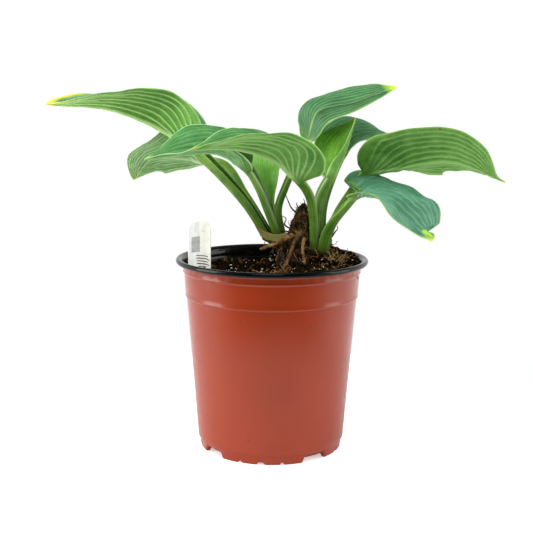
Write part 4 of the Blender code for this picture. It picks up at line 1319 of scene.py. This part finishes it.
def leaf_skin(name, upper, under, vein="#A9CF80", edge="#A8CC70", tip="#C8DC40", tip_from=0.93,
              deep="#3C6E1C", stalk=("#4E7E18", "#74A032"), foot="#4E5A18", bleach=0.0, ribs=0.85,
              shade=0.55, upper_ribs=0.30, crease=0.0, scar="#7A5A20"):
    """A hosta leaf's skin. Each side has two tones that clouds of about 16 mm mix."""
    made, tree, shader = new_surface(name)
    where = add(tree, "ShaderNodeTexCoord").outputs["Object"]
    # clouds about 16 mm across, cell mottling about 2 mm, and darker, juicier patches about 35 mm
    clouds = {"cloud": (60.0, 3.0, 0.6), "mottle": (420.0, 4.0, 0.65), "patch": (28.0, 2.0, 0.5)}
    given = {label: add(tree, "ShaderNodeTexNoise", Vector=where, Scale=scale, Detail=detail,
                        Roughness=rough).outputs["Fac"]
             for label, (scale, detail, rough) in clouds.items()}
    # the net of tiny veins has cells about 1.6 mm wide
    given["net"] = add(tree, "ShaderNodeTexVoronoi", {"feature": "DISTANCE_TO_EDGE"}, Vector=where,
                       Scale=620.0).outputs["Distance"]
    for label in CARRIED:
        given[label] = add(tree, "ShaderNodeAttribute", {"attribute_name": label}).outputs["Fac"]

    # each share stretches one of those numbers from a range of its own to a range of weights
    ranges = {
        "soft": ("cloud", 0.35, 0.65, 0.0, 1.0),
        "lines": ("net", 0.0, 0.16, 1.0, 0.0),
        # painted highlight: the upper face is painted lighter on the quilt's swellings
        "quilt_highlight": ("quilt_light_and_shade", 0.45, 0.9, 0.0, 0.35),
        "juicy": ("patch", 0.50, 0.72, 0.0, 0.65),
        # painted shade: the under face is painted deep green in the troughs beside the veins
        "vein_trough_shade": ("quilt_light_and_shade", 0.05, 0.62, shade, 0.0),
        "grainy": ("mottle", 0.35, 0.75, 0.0, 0.26),
        "vein_strength": ("upper", 0.0, 1.0, ribs, upper_ribs),
        "rib_strength": ("upper", 0.0, 1.0, 0.9, 0.55),
        "margin_strength": ("place", -0.5, 0.1, 0.45, 0.85),
        "stem_mottle": ("mottle", 0.5, 0.8, 0.0, 0.5),
        "stem_lines": ("streak", 0.35, 0.95, 0.0, 0.55),
        "stem_foot": ("place", -0.35, -0.95, 0.0, 0.45),
        "blade": ("place", -0.04, 0.10, 0.0, 1.0),
        "tip": ("place", tip_from - 0.05, 0.995, 0.0, 1.0),
        "foot": ("place", -0.86, -1.0, 0.0, 1.0),
        "wax": ("mottle", 0.3, 0.7, 0.40, 0.56),
        "dull": ("mottle", 0.3, 0.7, 0.52, 0.66),
    }
    share = {label: out(add(tree, "ShaderNodeMapRange", Value=given[source], From_Min=low, From_Max=high,
                            To_Min=start, To_Max=end))
             for label, (source, low, high, start, end) in ranges.items()}
    products = {"net": (share["lines"], 0.16), "vein": (given["vein"], share["vein_strength"]),
                "rib": (given["rib"], share["rib_strength"]), "crease": (given["crease"], crease),
                "margin": (given["margin"], share["margin_strength"]), "bleach": (given["bleach"], bleach)}
    for label, (first, second) in products.items():
        share[label] = add(tree, "ShaderNodeMath", {"operation": "MULTIPLY"},
                           Value_0=first, Value_1=second).outputs[0]
    share["scar"] = given["scar"]

    # upper face, under face and stalk each start from two tones and take layers of their own
    tones = {"top": upper, "low": under, "stem": stalk}
    # the upper face takes a painted highlight on its swellings
    layers = {"top": [("quilt_highlight", upper[1])],
              # the under face takes painted shade in the troughs beside its veins
              "low": [("juicy", deep), ("vein_trough_shade", deep), ("net", vein)],
              "stem": [("stem_mottle", "#3F6418"), ("stem_lines", "#35620E"), ("stem_foot", "#2F5A0A")]}
    coat = {}
    for part, (dark, light) in tones.items():
        colour = linear(dark)
        for label, over in [("soft", light)] + layers[part]:
            colour = out(add(tree, "ShaderNodeMix", {"data_type": "RGBA"}, Factor=share[label],
                             A=colour, B=linear(over)))
        coat[part] = colour
    face = out(add(tree, "ShaderNodeMix", {"data_type": "RGBA"}, Factor=given["upper"],
                   A=coat["low"], B=coat["top"]))
    # veins, and painted shade along the fold by the midrib, over the half beyond it
    for label, over in (("grainy", "#2C6A14"), ("vein", vein), ("rib", vein), ("crease", "#1A4012")):
        face = out(add(tree, "ShaderNodeMix", {"data_type": "RGBA"}, Factor=share[label],
                       A=face, B=linear(over)))
    face = out(add(tree, "ShaderNodeMix", {"data_type": "RGBA"}, Factor=share["blade"],
                   A=coat["stem"], B=face))
    for label, over in (("margin", edge), ("bleach", tip), ("tip", tip), ("scar", scar), ("foot", foot)):
        face = out(add(tree, "ShaderNodeMix", {"data_type": "RGBA"}, Factor=share[label],
                       A=face, B=linear(over)))
    tree.links.new(face, shader.inputs["Base Color"])
    gloss = add(tree, "ShaderNodeMix", {"data_type": "FLOAT"}, Factor=given["upper"],
                A=share["dull"], B=share["wax"])
    tree.links.new(out(gloss), shader.inputs["Roughness"])
    shader.inputs["Subsurface Weight"].default_value = 0.12
    shader.inputs["Subsurface Radius"].default_value = (0.4, 1.0, 0.25)
    shader.inputs["Subsurface Scale"].default_value = 0.002
    shader.inputs["Specular IOR Level"].default_value = 0.28
    # cell grain about 0.5 mm, as coarse as it must be to show
    grain = add(tree, "ShaderNodeTexNoise", Vector=where, Scale=1700.0, Detail=2.0).outputs["Fac"]
    height = add(tree, "ShaderNodeMath", {"operation": "MULTIPLY_ADD"}, Value_0=share["lines"],
                 Value_1=-0.5, Value_2=grain).outputs[0]
    bump = add(tree, "ShaderNodeBump", Strength=0.35, Distance=0.0002, Height=height)
    tree.links.new(bump.outputs["Normal"], shader.inputs["Normal"])
    return made


BLUE_GREEN = ("#2F6848", "#47855C")
PALE_UNDER = ("#5C8E40", "#76A656")
LOOKS = {
    "leaf_upper_left": dict(upper=("#3E7A5C", "#5A9A78"), under=("#4E8E28", "#6CA842"), vein="#B8E08A",
                            tip="#E8E040", tip_from=0.97, bleach=0.9, ribs=1.0, deep="#34721A"),
    "leaf_lower_left": dict(upper=BLUE_GREEN, under=("#72AC5C", "#96C882"), vein="#C4E2AE", tip="#A8C070",
                            deep="#467C34"),
    "leaf_mid_left": dict(upper=("#2F7234", "#569450"), under=("#447E22", "#5E9A40"), vein="#9CD090",
                          edge="#CDEBB0", tip="#A8D080", tip_from=0.95),
    "leaf_front_sweeping": dict(upper=("#2E6E34", "#50904A"), under=("#508E34", "#76B252"), vein="#ACD684",
                                edge="#C4E49C", tip="#A8B050", tip_from=0.96, deep="#3A7822"),
    "leaf_young_left": dict(upper=("#7CC048", "#9CD46A"), under=("#8CC060", "#A8D480"), vein="#B8E090"),
    # the top leaf takes painted shade along the fold beyond its midrib
    "leaf_top": dict(upper=("#2A623C", "#407C4E"), under=PALE_UNDER, tip="#D0EC28", tip_from=0.93,
                     crease=0.75, upper_ribs=0.36),
    "leaf_young_right": dict(upper=("#68B01C", "#9AD84C"), under=("#78B848", "#98D06C"), edge="#D0F4B0"),
    "leaf_behind_right": dict(upper=("#3A7854", "#58946C"), under=PALE_UNDER, tip="#A8C858"),
    "leaf_long_right": dict(upper=("#2C5E3C", "#3E744C"), under=("#5A9436", "#7CB054"), vein="#9CCC78",
                            tip="#B8B040", tip_from=0.975, deep="#44801A", ribs=0.7, shade=0.26),
    "leaf_hanging_right": dict(upper=("#3A7256", "#5C947A"), under=("#4E8430", "#6CA048"), edge="#98C060",
                               tip="#C4DC28", tip_from=0.945, vein="#9CCCAC", upper_ribs=0.55,
                               scar="#A8D42A"),
}

# %% [markdown]
# Each leaf keeps marks of its own life. trim widens or narrows a half at some places along the blade, so
# the hanging leaf's far margin bulges and then is torn in. marks are small scars, given by their place
# along the blade, their place across it and their radius. quilting says how deep the swellings are.

# %% Ten leaves
SHAPES = {
    "leaf_hanging_right": dict(
        trim={"left": ((0, 0.10, 0.28, 0.55, 0.74, 0.82, 0.845, 0.87, 0.90, 0.94, 1.0),
                       (1.35, 1.3, 1.0, 1.0, 1.20, 1.26, 0.75, 0.42, 0.85, 1.25, 1.6))},
        puckers=1.1, marks=((0.87, -0.42, 3.2), (0.91, -0.5, 2.6))),
    "leaf_long_right": dict(
        trim={"right": ((0, 0.72, 0.84, 0.93, 1.0), (1, 1.03, 0.82, 0.58, 0.8)),
              "left": ((0, 0.40, 0.60, 0.78, 1.0), (1, 1, 1.12, 1, 1))},
        puckers=0.9, quilting=0.5, marks=((0.50, 0.93, 1.3),)),
    "leaf_front_sweeping": dict(
        trim={"left": ((0, 0.10, 0.30), (0.87, 0.90, 1.0))},
        puckers=0.5, marks=((0.16, 0.90, 0.9),)),
    "leaf_top": dict(marks=((0.55, 0.80, 0.9),), puckers=0.6, quilting=0.55),
    "leaf_behind_right": dict(puckers=0.5, quilting=0.6),
    "leaf_lower_left": dict(puckers=0.8),
}
for seed, (name, leaf) in enumerate(LEAVES.items()):
    fine = "fine_" + name
    surface = leaf_skin("hosta_skin_" + name[5:], **LOOKS[name])
    made = fine_leaf(fine, leaf, surface, seed=3.7 * seed, **SHAPES.get(name, {}))
    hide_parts(name)
    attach(made, "root")
print("leaves:", len(LEAVES), "faces in one:", len(made.data.polygons))

# %% [markdown]
# ## Floor and finish
# The plant stands on a plain white sheet. Its edge is out of sight, so floor and air meet without a line.

# %% Floor
FLOOR_RADIUS = 330.0
FLOOR_SIDES = 96
paper, tree, shader = new_surface("white_studio_paper")
shader.inputs["Base Color"].default_value = (0.88, 0.875, 0.87, 1.0)
shader.inputs["Roughness"].default_value = 0.9
# the paper is lit from behind as well, so it stays white right up to the pot's foot; the pot's
# polish mirrors only its reflected light, or its lower half would look chalky
shader.inputs["Emission Color"].default_value = (1.0, 1.0, 1.0, 1.0)
dimmed = add(tree, "ShaderNodeMix", {"data_type": "FLOAT"}, A=0.50, B=0.0,
             Factor=add(tree, "ShaderNodeLightPath").outputs["Is Glossy Ray"])
tree.links.new(out(dimmed), shader.inputs["Emission Strength"])
turn = np.linspace(0, 2 * pi, FLOOR_SIDES, endpoint=False)
rim = np.stack([FLOOR_RADIUS * np.cos(turn), FLOOR_RADIUS * np.sin(turn), np.zeros(FLOOR_SIDES)], -1)
floor = piece("studio_floor", rim, [tuple(range(FLOOR_SIDES))], (paper,), smooth=False)
